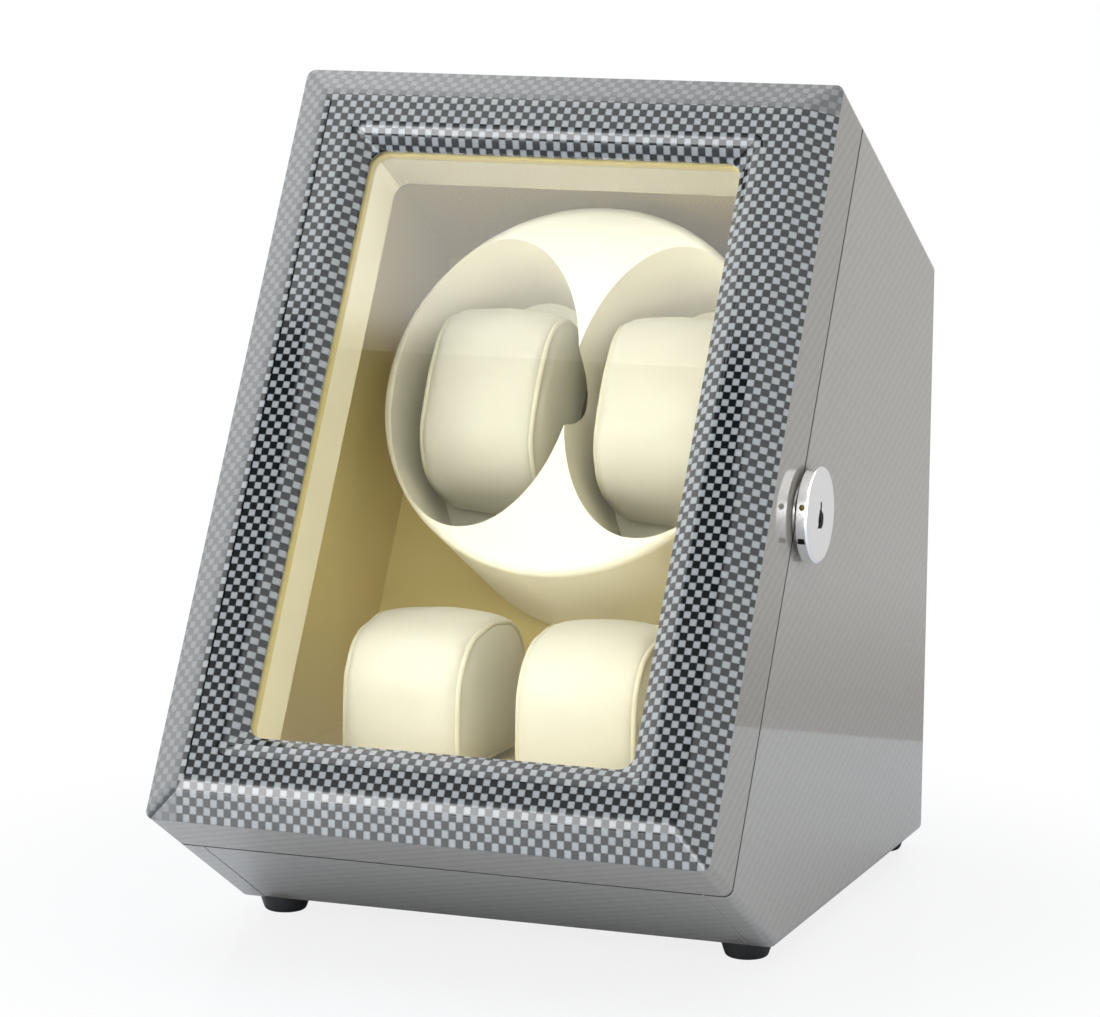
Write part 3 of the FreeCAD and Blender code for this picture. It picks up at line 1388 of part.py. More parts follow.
board_posts = new_body("pillars")
pillar_sketch = new_sketch(board_posts, "XY_Plane")
for pillar_x in ("dims.board_length / 2 - dims.board_post_in", "dims.board_post_in - dims.board_length / 2"):
    for pillar_y in ("dims.board_post_in", "dims.board_width - dims.board_post_in"):
        circle(pillar_sketch, pillar_x, pillar_y, "dims.board_post_radius")
pad(board_posts, pillar_sketch, "dims.board_lift")
keep(move(board_posts, "0", "places.board_y", "places.floor_z"), "board_posts")

# Cushions: a crowned band between two seams, with end panels that swell past them


def cushion_section(body, x, inset):
    # Local y along the base, z up to the crown
    half = f"(dims.cushion_span / 2 - ({inset}))"
    base = f"max(0; {inset})"
    top = f"(dims.cushion_rise - ({inset}))"
    corner = "dims.cushion_corner"
    shoulder = f"(dims.cushion_shoulder - max(0; {inset}) / 2)"
    right = [
        (f"{half} - {corner}", base),
        (half, f"{base} + {corner}"),
        (half, f"{top} - {shoulder}"),
        (f"{half} - {shoulder}", top),
    ]
    arcs = {0: (corner, True), 2: (shoulder, True), 3: ("dims.cushion_top", True)}
    arcs.update({4: (shoulder, True), 6: (corner, True)})
    return outline(new_sketch(body, "YZ_Plane", x), sides(right), arcs)


def cushion(name):
    body = new_body(name)
    sections = (
        ("-dims.cushion_width / 2", "dims.cushion_tuck"),
        ("-dims.cushion_band / 2", "0"),
        ("0", "-dims.cushion_crown"),
        ("dims.cushion_band / 2", "0"),
        ("dims.cushion_width / 2", "dims.cushion_tuck"),
    )
    loft(body, [cushion_section(body, x, inset) for x, inset in sections])
    return body


for cushion_side, cushion_sign in (("left", "-"), ("right", "")):
    winder_pad = cushion(f"winder_pad_{cushion_side}")
    face_front(
        winder_pad, f"{cushion_sign}places.cup_offset", "places.drum_height",
        "dims.drum_front + dims.cup_depth - dims.soft_gap",
    )
    keep(winder_pad, f"winder_cushion_{cushion_side}")
    storage_pad = cushion(f"storage_pad_{cushion_side}")
    move(
        storage_pad, f"{cushion_sign}dims.storage_offset", "places.front_y + dims.storage_setback",
        "places.shelf_z + dims.soft_gap",
    )
    keep(storage_pad, f"storage_cushion_{cushion_side}")

# Check and write

doc.recompute()
for obj in doc.Objects:
    if {"Invalid", "Error"} & set(obj.State):
        raise RuntimeError(f"{obj.Label} failed: {obj.State}")
for part in sub_parts:
    if part.Shape.isNull() or not part.Shape.isValid() or not part.Shape.Solids:
        raise RuntimeError(f"{part.Label} has no valid solid")
os.makedirs("parts", exist_ok=True)
for part in sub_parts:
    part.Shape.exportStep(f"parts/{part.Label}.step")
print(f"{len(sub_parts)} sub-parts written")
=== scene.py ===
import json
import math

import bmesh
import bpy
from mathutils import Euler, Matrix, Vector


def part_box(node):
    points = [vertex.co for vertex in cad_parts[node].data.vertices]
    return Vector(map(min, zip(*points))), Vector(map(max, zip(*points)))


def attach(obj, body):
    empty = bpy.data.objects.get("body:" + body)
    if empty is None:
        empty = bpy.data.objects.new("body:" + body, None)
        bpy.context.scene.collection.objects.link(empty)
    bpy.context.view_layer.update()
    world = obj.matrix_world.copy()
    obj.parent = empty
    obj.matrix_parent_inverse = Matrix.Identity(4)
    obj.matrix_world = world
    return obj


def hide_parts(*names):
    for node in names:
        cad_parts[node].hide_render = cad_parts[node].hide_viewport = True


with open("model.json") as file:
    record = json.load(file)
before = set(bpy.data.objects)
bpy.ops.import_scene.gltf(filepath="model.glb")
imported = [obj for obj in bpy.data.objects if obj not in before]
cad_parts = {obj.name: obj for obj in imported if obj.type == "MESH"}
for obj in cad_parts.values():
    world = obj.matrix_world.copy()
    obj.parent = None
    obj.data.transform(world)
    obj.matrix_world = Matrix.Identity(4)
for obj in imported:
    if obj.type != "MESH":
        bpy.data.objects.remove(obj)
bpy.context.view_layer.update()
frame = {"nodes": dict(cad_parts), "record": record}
mm = 0.001
print("frame loaded:", len(frame["nodes"]), "nodes")

# The door's own space: x to the right, y up the slope, z out of the door
slope = {"lean": 29.6, "bevelFoot": 5 * mm, "doorBack": 27.7 * mm}
lean = math.radians(slope["lean"])
doorLow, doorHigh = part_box("door_frame")
frontCorner = Vector((
    0,
    doorLow.y - slope["bevelFoot"] * math.cos(lean),
    doorLow.z + slope["doorBack"] * math.sin(lean),
))
doorTurn = math.radians(90) - lean
doorSpace = Matrix.Translation(frontCorner) @ Matrix.Rotation(doorTurn, 4, "X")
toDoor = doorSpace.inverted()


# Materials

def newMaterial(name, **sockets):
    material = bpy.data.materials.new(name)
    material.use_nodes = True
    shader = material.node_tree.nodes["Principled BSDF"]
    for socket, value in sockets.items():
        shader.inputs[socket].default_value = value
    return material, material.node_tree, shader


def addNode(tree, kind, inputs=None, **settings):
    node = tree.nodes.new(kind)
    for key, value in settings.items():
        setattr(node, key, value)
    for key, value in (inputs or {}).items():
        if isinstance(value, bpy.types.NodeSocket):
            tree.links.new(value, node.inputs[key])
        else:
            node.inputs[key].default_value = value
    return node


def objectSpace(tree, turn=(0, 0, 0), shift=(0, 0, 0)):
    coords = addNode(tree, "ShaderNodeTexCoord")
    mapped = addNode(tree, "ShaderNodeMapping", {0: coords.outputs["Object"]})
    mapped.inputs["Location"].default_value = shift
    mapped.inputs["Rotation"].default_value = turn
    return mapped.outputs[0]


def calc(tree, operation, first, second=0.0, third=0.0):
    node = addNode(tree, "ShaderNodeMath", {0: first, 1: second, 2: third}, operation=operation)
    return node.outputs[0]


def ramp(tree, factor, stops):
    node = addNode(tree, "ShaderNodeValToRGB", {0: factor})
    elements = node.color_ramp.elements
    while len(elements) < len(stops):
        elements.new(0.5)
    for element, (position, colour) in zip(elements, stops):
        element.position = position
        element.color = (*colour, 1)
    return node.outputs[0]


def mixColour(tree, factor, first, second):
    node = addNode(tree, "ShaderNodeMix", data_type="RGBA")
    for key, value in ((0, factor), (6, first), (7, second)):
        if isinstance(value, bpy.types.NodeSocket):
            tree.links.new(value, node.inputs[key])
        else:
            node.inputs[key].default_value = value if key == 0 else (*value, 1)
    return node.outputs[2]


def between(tree, value, low, high, least=0.0, most=1.0):
    node = addNode(tree, "ShaderNodeMapRange", {"Value": value}, interpolation_type="SMOOTHSTEP")
    for socket, amount in (("From Min", low), ("From Max", high), ("To Min", least), ("To Max", most)):
        node.inputs[socket].default_value = amount
    return node.outputs[0]


def noise(tree, vector, scale, detail=3.0, roughness=0.5):
    node = addNode(tree, "ShaderNodeTexNoise", {"Vector": vector})
    node.inputs["Scale"].default_value = scale
    node.inputs["Detail"].default_value = detail
    node.inputs["Roughness"].default_value = roughness
    return node.outputs["Fac"]


def addBump(tree, shader, height, strength, distance):
    node = addNode(tree, "ShaderNodeBump", {"Height": height})
    node.inputs["Strength"].default_value = strength
    node.inputs["Distance"].default_value = distance
    tree.links.new(node.outputs[0], shader.inputs["Normal"])


weave = {
    "checkCell": 2.02 * mm,
    "checkRamp": (
        (0.00, (0.005, 0.008, 0.009)),
        (0.30, (0.004, 0.007, 0.008)),
        (0.49, (0.005, 0.008, 0.009)),
        (0.56, (0.215, 0.234, 0.244)),
        (1.00, (0.370, 0.395, 0.410)),
    ),
    # the pale grey below is painted sheen on the left and upper bevels
    "bevelSheenColour": (0.150, 0.157, 0.162),
    "checkSteep": 1.7,
    "bevelSheenLeft": 70.5 * mm,
    "bevelSheenTop": 216.5 * mm,
    "bevelSheenDepth": 0.25 * mm,
    "bevelSheenShare": 0.72,
    "twillRise": 3.6 * mm,
    "twillRun": 8.2 * mm,
    "twillDark": (0.346, 0.322, 0.285),
    "twillLight": (0.386, 0.360, 0.319),
    "twillCross": 0.14,
    "maskDepth": 5.05 * mm,
    # the seam's gap is painted near-black as shade, around this depth
    "seamDepth": 28.0 * mm,
    "seamHalf": 0.6 * mm,
    "seamShadeColour": (0.006, 0.006, 0.006),
}


def twillColour(tree):
    place = addNode(tree, "ShaderNodeSeparateXYZ", {0: objectSpace(tree)})
    along = calc(tree, "MULTIPLY", place.outputs[1], 2 * math.pi / weave["twillRun"])
    across = calc(tree, "MULTIPLY", place.outputs[0], 2 * math.pi / weave["twillRun"])
    up = calc(tree, "MULTIPLY", place.outputs[2], 2 * math.pi / weave["twillRise"])
    level = calc(tree, "ADD", along, across)
    stripe = calc(tree, "SINE", calc(tree, "SUBTRACT", up, level))
    cross = calc(tree, "SINE", calc(tree, "ADD", up, level))
    thread = calc(tree, "MULTIPLY_ADD", stripe, 0.5, 0.5)
    fine = calc(tree, "MULTIPLY_ADD", cross, weave["twillCross"], thread)
    return mixColour(tree, fine, weave["twillDark"], weave["twillLight"])


def doorPlace(tree):
    space = objectSpace(tree, (-doorTurn, 0, 0), toDoor.to_translation())
    return addNode(tree, "ShaderNodeSeparateXYZ", {0: space})


def paintedSeamShade(tree, outward, colour):
    # painted shade: the mating faces of the door and the case are coloured near-black, so the seam's gap
    # reads dark
    offset = calc(tree, "ABSOLUTE", calc(tree, "ADD", outward, weave["seamDepth"]))
    inSeamShade = calc(tree, "LESS_THAN", offset, weave["seamHalf"])
    return mixColour(tree, inSeamShade, colour, weave["seamShadeColour"])


def cellWave(tree, place):
    wave = calc(tree, "SINE", calc(tree, "MULTIPLY", place, math.pi / weave["checkCell"]))
    steep = calc(tree, "MULTIPLY", wave, weave["checkSteep"])
    return calc(tree, "MINIMUM", calc(tree, "MAXIMUM", steep, -1.0), 1.0)


def checkColour(tree):
    place = doorPlace(tree)
    across, up, outward = place.outputs
    cell = calc(tree, "MULTIPLY", cellWave(tree, across), cellWave(tree, up))
    colour = ramp(tree, calc(tree, "MULTIPLY_ADD", cell, 0.5, 0.5), weave["checkRamp"])
    # painted sheen: over the left and upper bevels, the sides that face the lamps, the check is washed
    # towards a pale grey
    left = calc(tree, "LESS_THAN", across, -weave["bevelSheenLeft"])
    top = calc(tree, "GREATER_THAN", up, weave["bevelSheenTop"])
    onBevel = calc(tree, "LESS_THAN", outward, -weave["bevelSheenDepth"])
    bevelSheen = calc(tree, "MULTIPLY", calc(tree, "MAXIMUM", left, top), onBevel)
    bevelSheen = calc(tree, "MULTIPLY", bevelSheen, weave["bevelSheenShare"])
    return mixColour(tree, bevelSheen, colour, weave["bevelSheenColour"]), outward


caseLacquer, tree, shader = newMaterial(
    "caseLacquer",
    **{"Roughness": 0.32, "Coat Weight": 1.0, "Coat Roughness": 0.035, "Specular IOR Level": 0.1},
)
twill = twillColour(tree)
tree.links.new(paintedSeamShade(tree, doorPlace(tree).outputs[2], twill), shader.inputs["Base Color"])

doorLacquer, tree, shader = newMaterial(
    "doorLacquer",
    **{"Roughness": 0.3, "Coat Weight": 1.0, "Coat Roughness": 0.03, "Specular IOR Level": 0.0},
)
check, outward = checkColour(tree)
onFace = calc(tree, "GREATER_THAN", outward, -weave["maskDepth"])
woven = mixColour(tree, onFace, twillColour(tree), check)
tree.links.new(paintedSeamShade(tree, outward, woven), shader.inputs["Base Color"])

leathers = {
    "liningLeather": {
        "colours": ((0.65, 0.53, 0.19), (0.71, 0.60, 0.26)),
        "roughness": 0.62, "grain": 0.15 * mm,
    },
    "trimLeather": {
        "colours": ((0.84, 0.76, 0.52), (0.89, 0.83, 0.62)),
        "roughness": 0.55, "grain": 0.12 * mm,
    },
    "cushionLeather": {
        "colours": ((0.56, 0.53, 0.41), (0.62, 0.595, 0.48)),
        "roughness": 0.52, "grain": 0.15 * mm,
    },
    "pipingLeather": {
        "colours": ((0.56, 0.52, 0.37), (0.62, 0.585, 0.44)),
        "roughness": 0.5, "grain": 0.08 * mm,
    },
}
leatherGrain = {
    "cloudScale": 60, "grainScale": 1400, "strength": 0.35,
    "gloss": 0.35, "sheen": 0.12, "sheenRoughness": 0.5,
}
# shade painted on the trim: where it starts, and its colour across the top
trimShade = {
    "front": 10.4 * mm,
    "top": 199.6 * mm,
    "topColours": ((0.52, 0.46, 0.29), (0.58, 0.52, 0.35)),
}


def shadedTrim(tree, cloud, colour):
    # painted shade: the trim is coloured darker along the glass and across the top
    place = doorPlace(tree)
    atFront = calc(tree, "GREATER_THAN", place.outputs[2], -trimShade["front"])
    atTop = calc(tree, "GREATER_THAN", place.outputs[1], trimShade["top"])
    topShadeColour = mixColour(tree, cloud, *trimShade["topColours"])
    frontShadeColour = mixColour(tree, cloud, *leathers["liningLeather"]["colours"])
    return mixColour(tree, atFront, mixColour(tree, atTop, colour, topShadeColour), frontShadeColour)


def leatherette(name):
    kind = leathers[name]
    material, tree, shader = newMaterial(name, **{
        "Roughness": kind["roughness"],
        "Specular IOR Level": leatherGrain["gloss"],
        "Sheen Weight": leatherGrain["sheen"],
        "Sheen Roughness": leatherGrain["sheenRoughness"],
    })
    space = objectSpace(tree)
    cloud = noise(tree, space, leatherGrain["cloudScale"], 4)
    colour = mixColour(tree, cloud, *kind["colours"])
    if name == "trimLeather":
        colour = shadedTrim(tree, cloud, colour)
    tree.links.new(colour, shader.inputs["Base Color"])
    cells = addNode(tree, "ShaderNodeTexVoronoi", {"Vector": space}, feature="DISTANCE_TO_EDGE")
    cells.inputs["Scale"].default_value = leatherGrain["grainScale"]
    addBump(tree, shader, cells.outputs["Distance"], leatherGrain["strength"], kind["grain"])
    return material


liningLeather, trimLeather, cushionLeather, pipingLeather = (leatherette(name) for name in leathers)

plastics = {
    "drumIvory": {
        "colours": ((0.71, 0.67, 0.52), (0.75, 0.715, 0.58)),
        "roughness": 0.5, "grain": 0.05 * mm, "gloss": 0.12,
    },
    "blackPlastic": {
        "colours": ((0.018, 0.018, 0.020), (0.030, 0.030, 0.033)),
        "roughness": 0.45, "grain": 0.10 * mm, "gloss": 0.45,
    },
    "blackRubber": {
        "colours": ((0.012, 0.012, 0.012), (0.022, 0.022, 0.022)),
        "roughness": 0.5, "grain": 0.08 * mm, "gloss": 0.45,
    },
    "circuitBoard": {
        "colours": ((0.03, 0.16, 0.07), (0.05, 0.22, 0.10)),
        "roughness": 0.4, "grain": 0.05 * mm, "gloss": 0.45,
    },
}
plasticGrain = {"cloudScale": 35, "grainScale": 2600, "strength": 0.18}


def mouldedPlastic(name):
    kind = plastics[name]
    material, tree, shader = newMaterial(
        name, **{"Roughness": kind["roughness"], "Specular IOR Level": kind["gloss"]}
    )
    space = objectSpace(tree)
    cloud = noise(tree, space, plasticGrain["cloudScale"], 3)
    tree.links.new(mixColour(tree, cloud, *kind["colours"]), shader.inputs["Base Color"])
    pores = noise(tree, space, plasticGrain["grainScale"], 2)
    addBump(tree, shader, pores, plasticGrain["strength"], kind["grain"])
    return material


drumIvory, blackPlastic, blackRubber, circuitBoard = (mouldedPlastic(name) for name in plastics)

metals = {
    "chromePlate": {
        "colours": ((0.86, 0.87, 0.89), (0.92, 0.92, 0.93)),
        "roughness": 0.07, "scratch": 500,
    },
    "platedSteel": {
        "colours": ((0.52, 0.52, 0.53), (0.62, 0.62, 0.62)),
        "roughness": 0.28, "scratch": 1500,
    },
    "satinChrome": {
        "colours": ((0.93, 0.93, 0.93), (0.96, 0.96, 0.95)),
        "roughness": 0.20, "scratch": 700,
    },
    "turnedBrass": {
        "colours": ((0.72, 0.52, 0.22), (0.80, 0.60, 0.30)),
        "roughness": 0.22, "scratch": 1200,
    },
    "agedBrass": {
        "colours": ((0.10, 0.075, 0.02), (0.16, 0.12, 0.04)),
        "roughness": 0.45, "scratch": 1200,
    },
}
metalWear = {"cloudScale": 90, "smoothest": 0.7, "roughest": 1.4}


def metal(name):
    kind = metals[name]
    material, tree, shader = newMaterial(name, **{"Metallic": 1.0})
    space = objectSpace(tree)
    cloud = noise(tree, space, metalWear["cloudScale"], 3)
    tree.links.new(mixColour(tree, cloud, *kind["colours"]), shader.inputs["Base Color"])
    spread = addNode(tree, "ShaderNodeMapRange", {"Value": noise(tree, space, kind["scratch"], 5)})
    spread.inputs["To Min"].default_value = kind["roughness"] * metalWear["smoothest"]
    spread.inputs["To Max"].default_value = kind["roughness"] * metalWear["roughest"]
    tree.links.new(spread.outputs[0], shader.inputs["Roughness"])
    return material


chromePlate, platedSteel, satinChrome, turnedBrass, agedBrass = (metal(name) for name in metals)

# a matte near-black, painted as the shade in the keyhole, in the notch and in the screw slots
shadeBlackTone = {"scale": 900, "colours": ((0.008, 0.008, 0.008), (0.03, 0.03, 0.03))}
shadeBlack, tree, shader = newMaterial("shadeBlack", **{"Roughness": 0.9, "Specular IOR Level": 0.0})
cloud = noise(tree, objectSpace(tree), shadeBlackTone["scale"], 2)
tree.links.new(mixColour(tree, cloud, *shadeBlackTone["colours"]), shader.inputs["Base Color"])

pressedBoard = {
    "colours": ((0.30, 0.20, 0.11), (0.46, 0.33, 0.20)), "chipScale": 420, "chipRough": 0.7,
    "poreScale": 900, "poreStrength": 0.4, "poreDepth": 0.2 * mm,
}
bareBoard, tree, shader = newMaterial("bareBoard", **{"Roughness": 0.8})
space = objectSpace(tree)
chips = noise(tree, space, pressedBoard["chipScale"], 6, pressedBoard["chipRough"])
tree.links.new(mixColour(tree, chips, *pressedBoard["colours"]), shader.inputs["Base Color"])
pores = noise(tree, space, pressedBoard["poreScale"], 4)
addBump(tree, shader, pores, pressedBoard["poreStrength"], pressedBoard["poreDepth"])

clearGlass, tree, shader = newMaterial("clearGlass", **{
    "Base Color": (0.97, 0.985, 0.975, 1),
    "Roughness": 0.0,
    "IOR": 1.5,
    "Transmission Weight": 1.0,
})
output = tree.nodes["Material Output"]
clear = addNode(tree, "ShaderNodeBsdfTransparent")
lightPath = addNode(tree, "ShaderNodeLightPath")
throughGlass = addNode(tree, "ShaderNodeMixShader", {0: lightPath.outputs["Is Shadow Ray"]})
tree.links.new(shader.outputs[0], throughGlass.inputs[1])
tree.links.new(clear.outputs[0], throughGlass.inputs[2])
tree.links.new(throughGlass.outputs[0], output.inputs["Surface"])

finishes = {
    "case_lacquer": caseLacquer,
    "door_lacquer": doorLacquer,
    "lining": liningLeather,
    "lining_trim": trimLeather,
    "bare_board": bareBoard,
    "glass": clearGlass,
    "drum_ivory": drumIvory,
    "cushion_leather": cushionLeather,
    "rubber": blackRubber,
    "chrome": chromePlate,
    "steel": platedSteel,
    "brass": turnedBrass,
    "black_plastic": blackPlastic,
    "board": circuitBoard,
}
slotOf = {row["node"]: row["material_slot"] for row in frame["record"]["subparts"]}
bodyOf = {node: body for body, nodes in frame["record"]["behaviour"]["bodies"].items() for node in nodes}
for name, node in frame["nodes"].items():
    node.data.materials.clear()
    node.data.materials.append(finishes[slotOf[name]])
frame["nodes"]["lock_face"].data.materials[0] = satinChrome
print("materials made:", len(bpy.data.materials))


# Pieces

def addPiece(name, mesh, body, material, replaced=(), smooth=True):
    data = bpy.data.meshes.new(name)
    mesh.to_mesh(data)
    mesh.free()
    data.materials.append(material)
    for face in data.polygons:
        face.use_smooth = smooth
    piece = bpy.data.objects.new(name, data)
    bpy.context.scene.collection.objects.link(piece)
    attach(piece, body)
    if replaced:
        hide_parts(*replaced)
    return piece


def mergedCopy(node, flatAngle=0.6):
    mesh = bmesh.new()
    mesh.from_mesh(frame["nodes"][node].data)
    bmesh.ops.remove_doubles(mesh, verts=mesh.verts[:], dist=0.004 * mm)
    bmesh.ops.dissolve_limit(
        mesh, angle_limit=math.radians(flatAngle), use_dissolve_boundaries=False,
        verts=mesh.verts[:], edges=mesh.edges[:],
    )
    return mesh


def sharpEdges(mesh, least=25):
    limit = math.radians(least)
    return [edge for edge in mesh.edges if len(edge.link_faces) == 2 and edge.calc_face_angle() > limit]


def bevelEdges(mesh, edges, width, segments=3, clamped=True):
    if edges:
        bmesh.ops.bevel(
            mesh, geom=edges, offset=width, offset_type="OFFSET", affect="EDGES",
            segments=segments, profile=0.5, material=-1, clamp_overlap=clamped, loop_slide=True,
        )


def smoothBy(piece, degrees=32):
    mesh = bmesh.new()
    mesh.from_mesh(piece.data)
    for edge in mesh.edges:
        edge.smooth = len(edge.link_faces) == 2 and edge.calc_face_angle() < math.radians(degrees)
    mesh.to_mesh(piece.data)
    mesh.free()
    normals = piece.modifiers.new("evenNormals", "WEIGHTED_NORMAL")
    normals.keep_sharp = True


def softened(node, width, segments=3, least=25):
    mesh = mergedCopy(node)
    bevelEdges(mesh, sharpEdges(mesh, least), width, segments)
    finish = frame["nodes"][node].data.materials[0]
    smoothBy(addPiece(f"{node}_soft", mesh, bodyOf[node], finish, (node,)))


# Panels of the case, with the small rounding that lacquer leaves
caseEdges = {
    "side_panel_left": 0.7, "side_panel_right": 0.7, "top_panel": 0.5, "back_panel": 0.5, "base_panel": 0.5,
    "sill_panel": 0.5, "foot_front_left": 0.6, "foot_front_right": 0.6, "foot_rear_left": 0.6,
    "foot_rear_right": 0.6, "glass_retainer": 0.8, "lock_face": 0.5, "rear_cover": 0.4, "mode_knob": 0.4,
    "storage_plinth": 0.6,
}
for node, width in caseEdges.items():
    softened(node, width * mm)
print("case panels softened:", len(caseEdges))

doorEdges = {
    "crest": 2.6 * mm, "lip": 2.6 * mm, "other": 0.5 * mm,
    "crestDepth": 0.3 * mm, "rail": 16 * mm, "segments": 5, "sharpest": 18,
}


def doorEdgeGroup(mesh, group):
    halfWide = (doorHigh.x - doorLow.x) / 2
    rail = doorEdges["rail"]
    found = []
    for edge in sharpEdges(mesh, doorEdges["sharpest"]):
        ends = [toDoor @ vert.co for vert in edge.verts]
        if any(abs(point.z) > doorEdges["crestDepth"] for point in ends):
            kind = "other"
        elif all(abs(point.x) < halfWide - rail and point.y > rail for point in ends):
            kind = "lip"
        else:
            kind = "crest"
        if kind == group:
            found.append(edge)
    return found


def softDoor():
    mesh = mergedCopy("door_frame")
    for group in ("other", "crest", "lip"):
        edges = doorEdgeGroup(mesh, group)
        bevelEdges(mesh, edges, doorEdges[group], doorEdges["segments"], group != "lip")
    smoothBy(addPiece("door_frame_soft", mesh, "door", doorLacquer, ("door_frame",)))


softDoor()
print("door softened")

drumEdges = {"rim": 1.2 * mm, "segments": 4, "sharpest": 30}
softened("drum", drumEdges["rim"], drumEdges["segments"], drumEdges["sharpest"])
print("drum softened")


# Cushions

cushionShape = {
    "voxel": 2.5 * mm, "shrink": 0.9 * mm, "pressure": 4.0, "frames": 20, "cap": 1.8 * mm, "smoothing": 3,
    "seamAt": 16.6 * mm, "piping": 0.95 * mm, "sunk": 0.35 * mm, "bare": 3.5 * mm, "fill": 0.8,
}
cushionNodes = (
    "winder_cushion_left", "winder_cushion_right", "storage_cushion_left", "storage_cushion_right",
)
pullOf = {row["child"]: Vector(row["axis"]) for row in frame["record"]["behaviour"]["joints"]}


def applyModifiers(piece):
    graph = bpy.context.evaluated_depsgraph_get()
    shaped = bpy.data.meshes.new_from_object(piece.evaluated_get(graph), depsgraph=graph)
    piece.modifiers.clear()
    piece.data = shaped


def inflate(piece):
    rest = [vert.co.copy() for vert in piece.data.vertices]
    outward = [vert.normal.copy() for vert in piece.data.vertices]
    for vert, normal in zip(piece.data.vertices, outward):
        vert.co -= normal * cushionShape["shrink"]
    cloth = piece.modifiers.new("stuffing", "CLOTH")
    cloth.settings.use_pressure = True
    cloth.settings.uniform_pressure_force = cushionShape["pressure"]
    cloth.settings.effector_weights.gravity = 0
    cloth.settings.quality = 4
    for step in range(1, cushionShape["frames"] + 1):
        bpy.context.scene.frame_set(step)
    applyModifiers(piece)
    bpy.context.scene.frame_set(1)
    for vert, start in zip(piece.data.vertices, rest):
        moved = vert.co - start
        if moved.length > cushionShape["cap"]:
            vert.co = start + moved.normalized() * cushionShape["cap"]


def paddedCopy(node):
    mesh = mergedCopy(node, 0.1)
    data = bpy.data.meshes.new(f"{node}_padded")
    mesh.to_mesh(data)
    mesh.free()
    piece = bpy.data.objects.new(f"{node}_padded", data)
    bpy.context.scene.collection.objects.link(piece)
    remesh = piece.modifiers.new("even", "REMESH")
    remesh.mode = "VOXEL"
    remesh.voxel_size = cushionShape["voxel"]
    applyModifiers(piece)
    inflate(piece)
    mesh = bmesh.new()
    mesh.from_mesh(piece.data)
    for turn in range(cushionShape["smoothing"]):
        bmesh.ops.smooth_vert(
            mesh, verts=mesh.verts[:], factor=0.5, use_axis_x=True, use_axis_y=True, use_axis_z=True,
        )
    bmesh.ops.recalc_face_normals(mesh, faces=mesh.faces[:])
    mesh.to_mesh(piece.data)
    mesh.free()
    piece.data.materials.clear()
    piece.data.materials.append(cushionLeather)
    for face in piece.data.polygons:
        face.use_smooth = True
    subdivision = piece.modifiers.new("even", "SUBSURF")
    subdivision.levels = 1
    subdivision.render_levels = 1
    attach(piece, node)
    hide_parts(node)
    return piece


def seamRoute(piece, across, pull):
    # the cushion's outline at the seam, in order, without the stretch that it rests on
    graph = bpy.context.evaluated_depsgraph_get()
    shaped = piece.evaluated_get(graph).to_mesh()
    mesh = bmesh.new()
    mesh.from_mesh(shaped)
    seat = min(vert.co.dot(pull) for vert in mesh.verts)
    bmesh.ops.bisect_plane(
        mesh, geom=mesh.verts[:] + mesh.edges[:] + mesh.faces[:], dist=0.0001 * mm,
        plane_co=(across, 0, 0), plane_no=(1, 0, 0), clear_inner=True, clear_outer=True,
    )
    start = min(mesh.verts, key=lambda vert: vert.co.dot(pull))
    route = [start]
    edge = start.link_edges[0]
    while edge:
        last = edge.other_vert(route[-1])
        if last == start:
            break
        route.append(last)
        edge = next((other for other in last.link_edges if other != edge), None)
    places = [vert.co.copy() for vert in route]
    mesh.free()
    centre = sum(places, Vector()) / len(places)
    places = [place + (centre - place).normalized() * cushionShape["sunk"] for place in places]
    return [place for place in places if place.dot(pull) > seat + cushionShape["bare"]]


def pipedSeam(piece, node, side):
    low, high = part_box(node)
    across = (low.x + high.x) / 2 + side * cushionShape["seamAt"]
    places = seamRoute(piece, across, pullOf[node])
    curve = bpy.data.curves.new("seam", "CURVE")
    curve.dimensions = "3D"
    curve.bevel_depth = cushionShape["piping"]
    curve.bevel_resolution = 3
    curve.use_fill_caps = True
    spline = curve.splines.new("POLY")
    spline.points.add(len(places) - 1)
    for point, place in zip(spline.points, places):
        point.co = (*place, 1)
    drawn = bpy.data.objects.new("seam", curve)
    bpy.context.scene.collection.objects.link(drawn)
    graph = bpy.context.evaluated_depsgraph_get()
    mesh = bmesh.new()
    mesh.from_mesh(drawn.evaluated_get(graph).to_mesh())
    bpy.data.objects.remove(drawn)
    bmesh.ops.remove_doubles(mesh, verts=mesh.verts[:], dist=0.001 * mm)
    bmesh.ops.recalc_face_normals(mesh, faces=mesh.faces[:])
    sideName = "left" if side < 0 else "right"
    addPiece(f"{node}_piping_{sideName}", mesh, node, pipingLeather)


for node in cushionNodes:
    padded = paddedCopy(node)
    for side in (-1, 1):
        pipedSeam(padded, node, side)
print("cushions made:", len(cushionNodes))


# Lock, with the wide keyhole, the pin and the notch of its disc
lockShape = {
    "eye": 2.5 * mm, "eyeDrop": 1.3 * mm, "tip": 3.6 * mm, "tipHalf": 0.7 * mm, "steps": 20,
    "depth": 1.4 * mm, "past": 1 * mm,
    # the black inlay painted as shade in the keyhole
    "shadeMore": 0.1 * mm, "shadeBack": 0.3 * mm, "shadeFront": 0.05 * mm,
    "pin": 0.85 * mm, "pinRise": 3.7 * mm, "pinBack": 1.7 * mm, "rimInset": 0.2 * mm,
    "notchDrop": 5.6 * mm, "notchHalf": 0.75 * mm, "notchDeep": 0.9 * mm, "notchSunk": 0.3 * mm,
    "notchFrom": 1.0 * mm, "notchTo": 2.9 * mm, "notchMore": 0.05 * mm,
}
lockLow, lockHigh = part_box("lock_face")
lockCentre = (lockLow + lockHigh) / 2
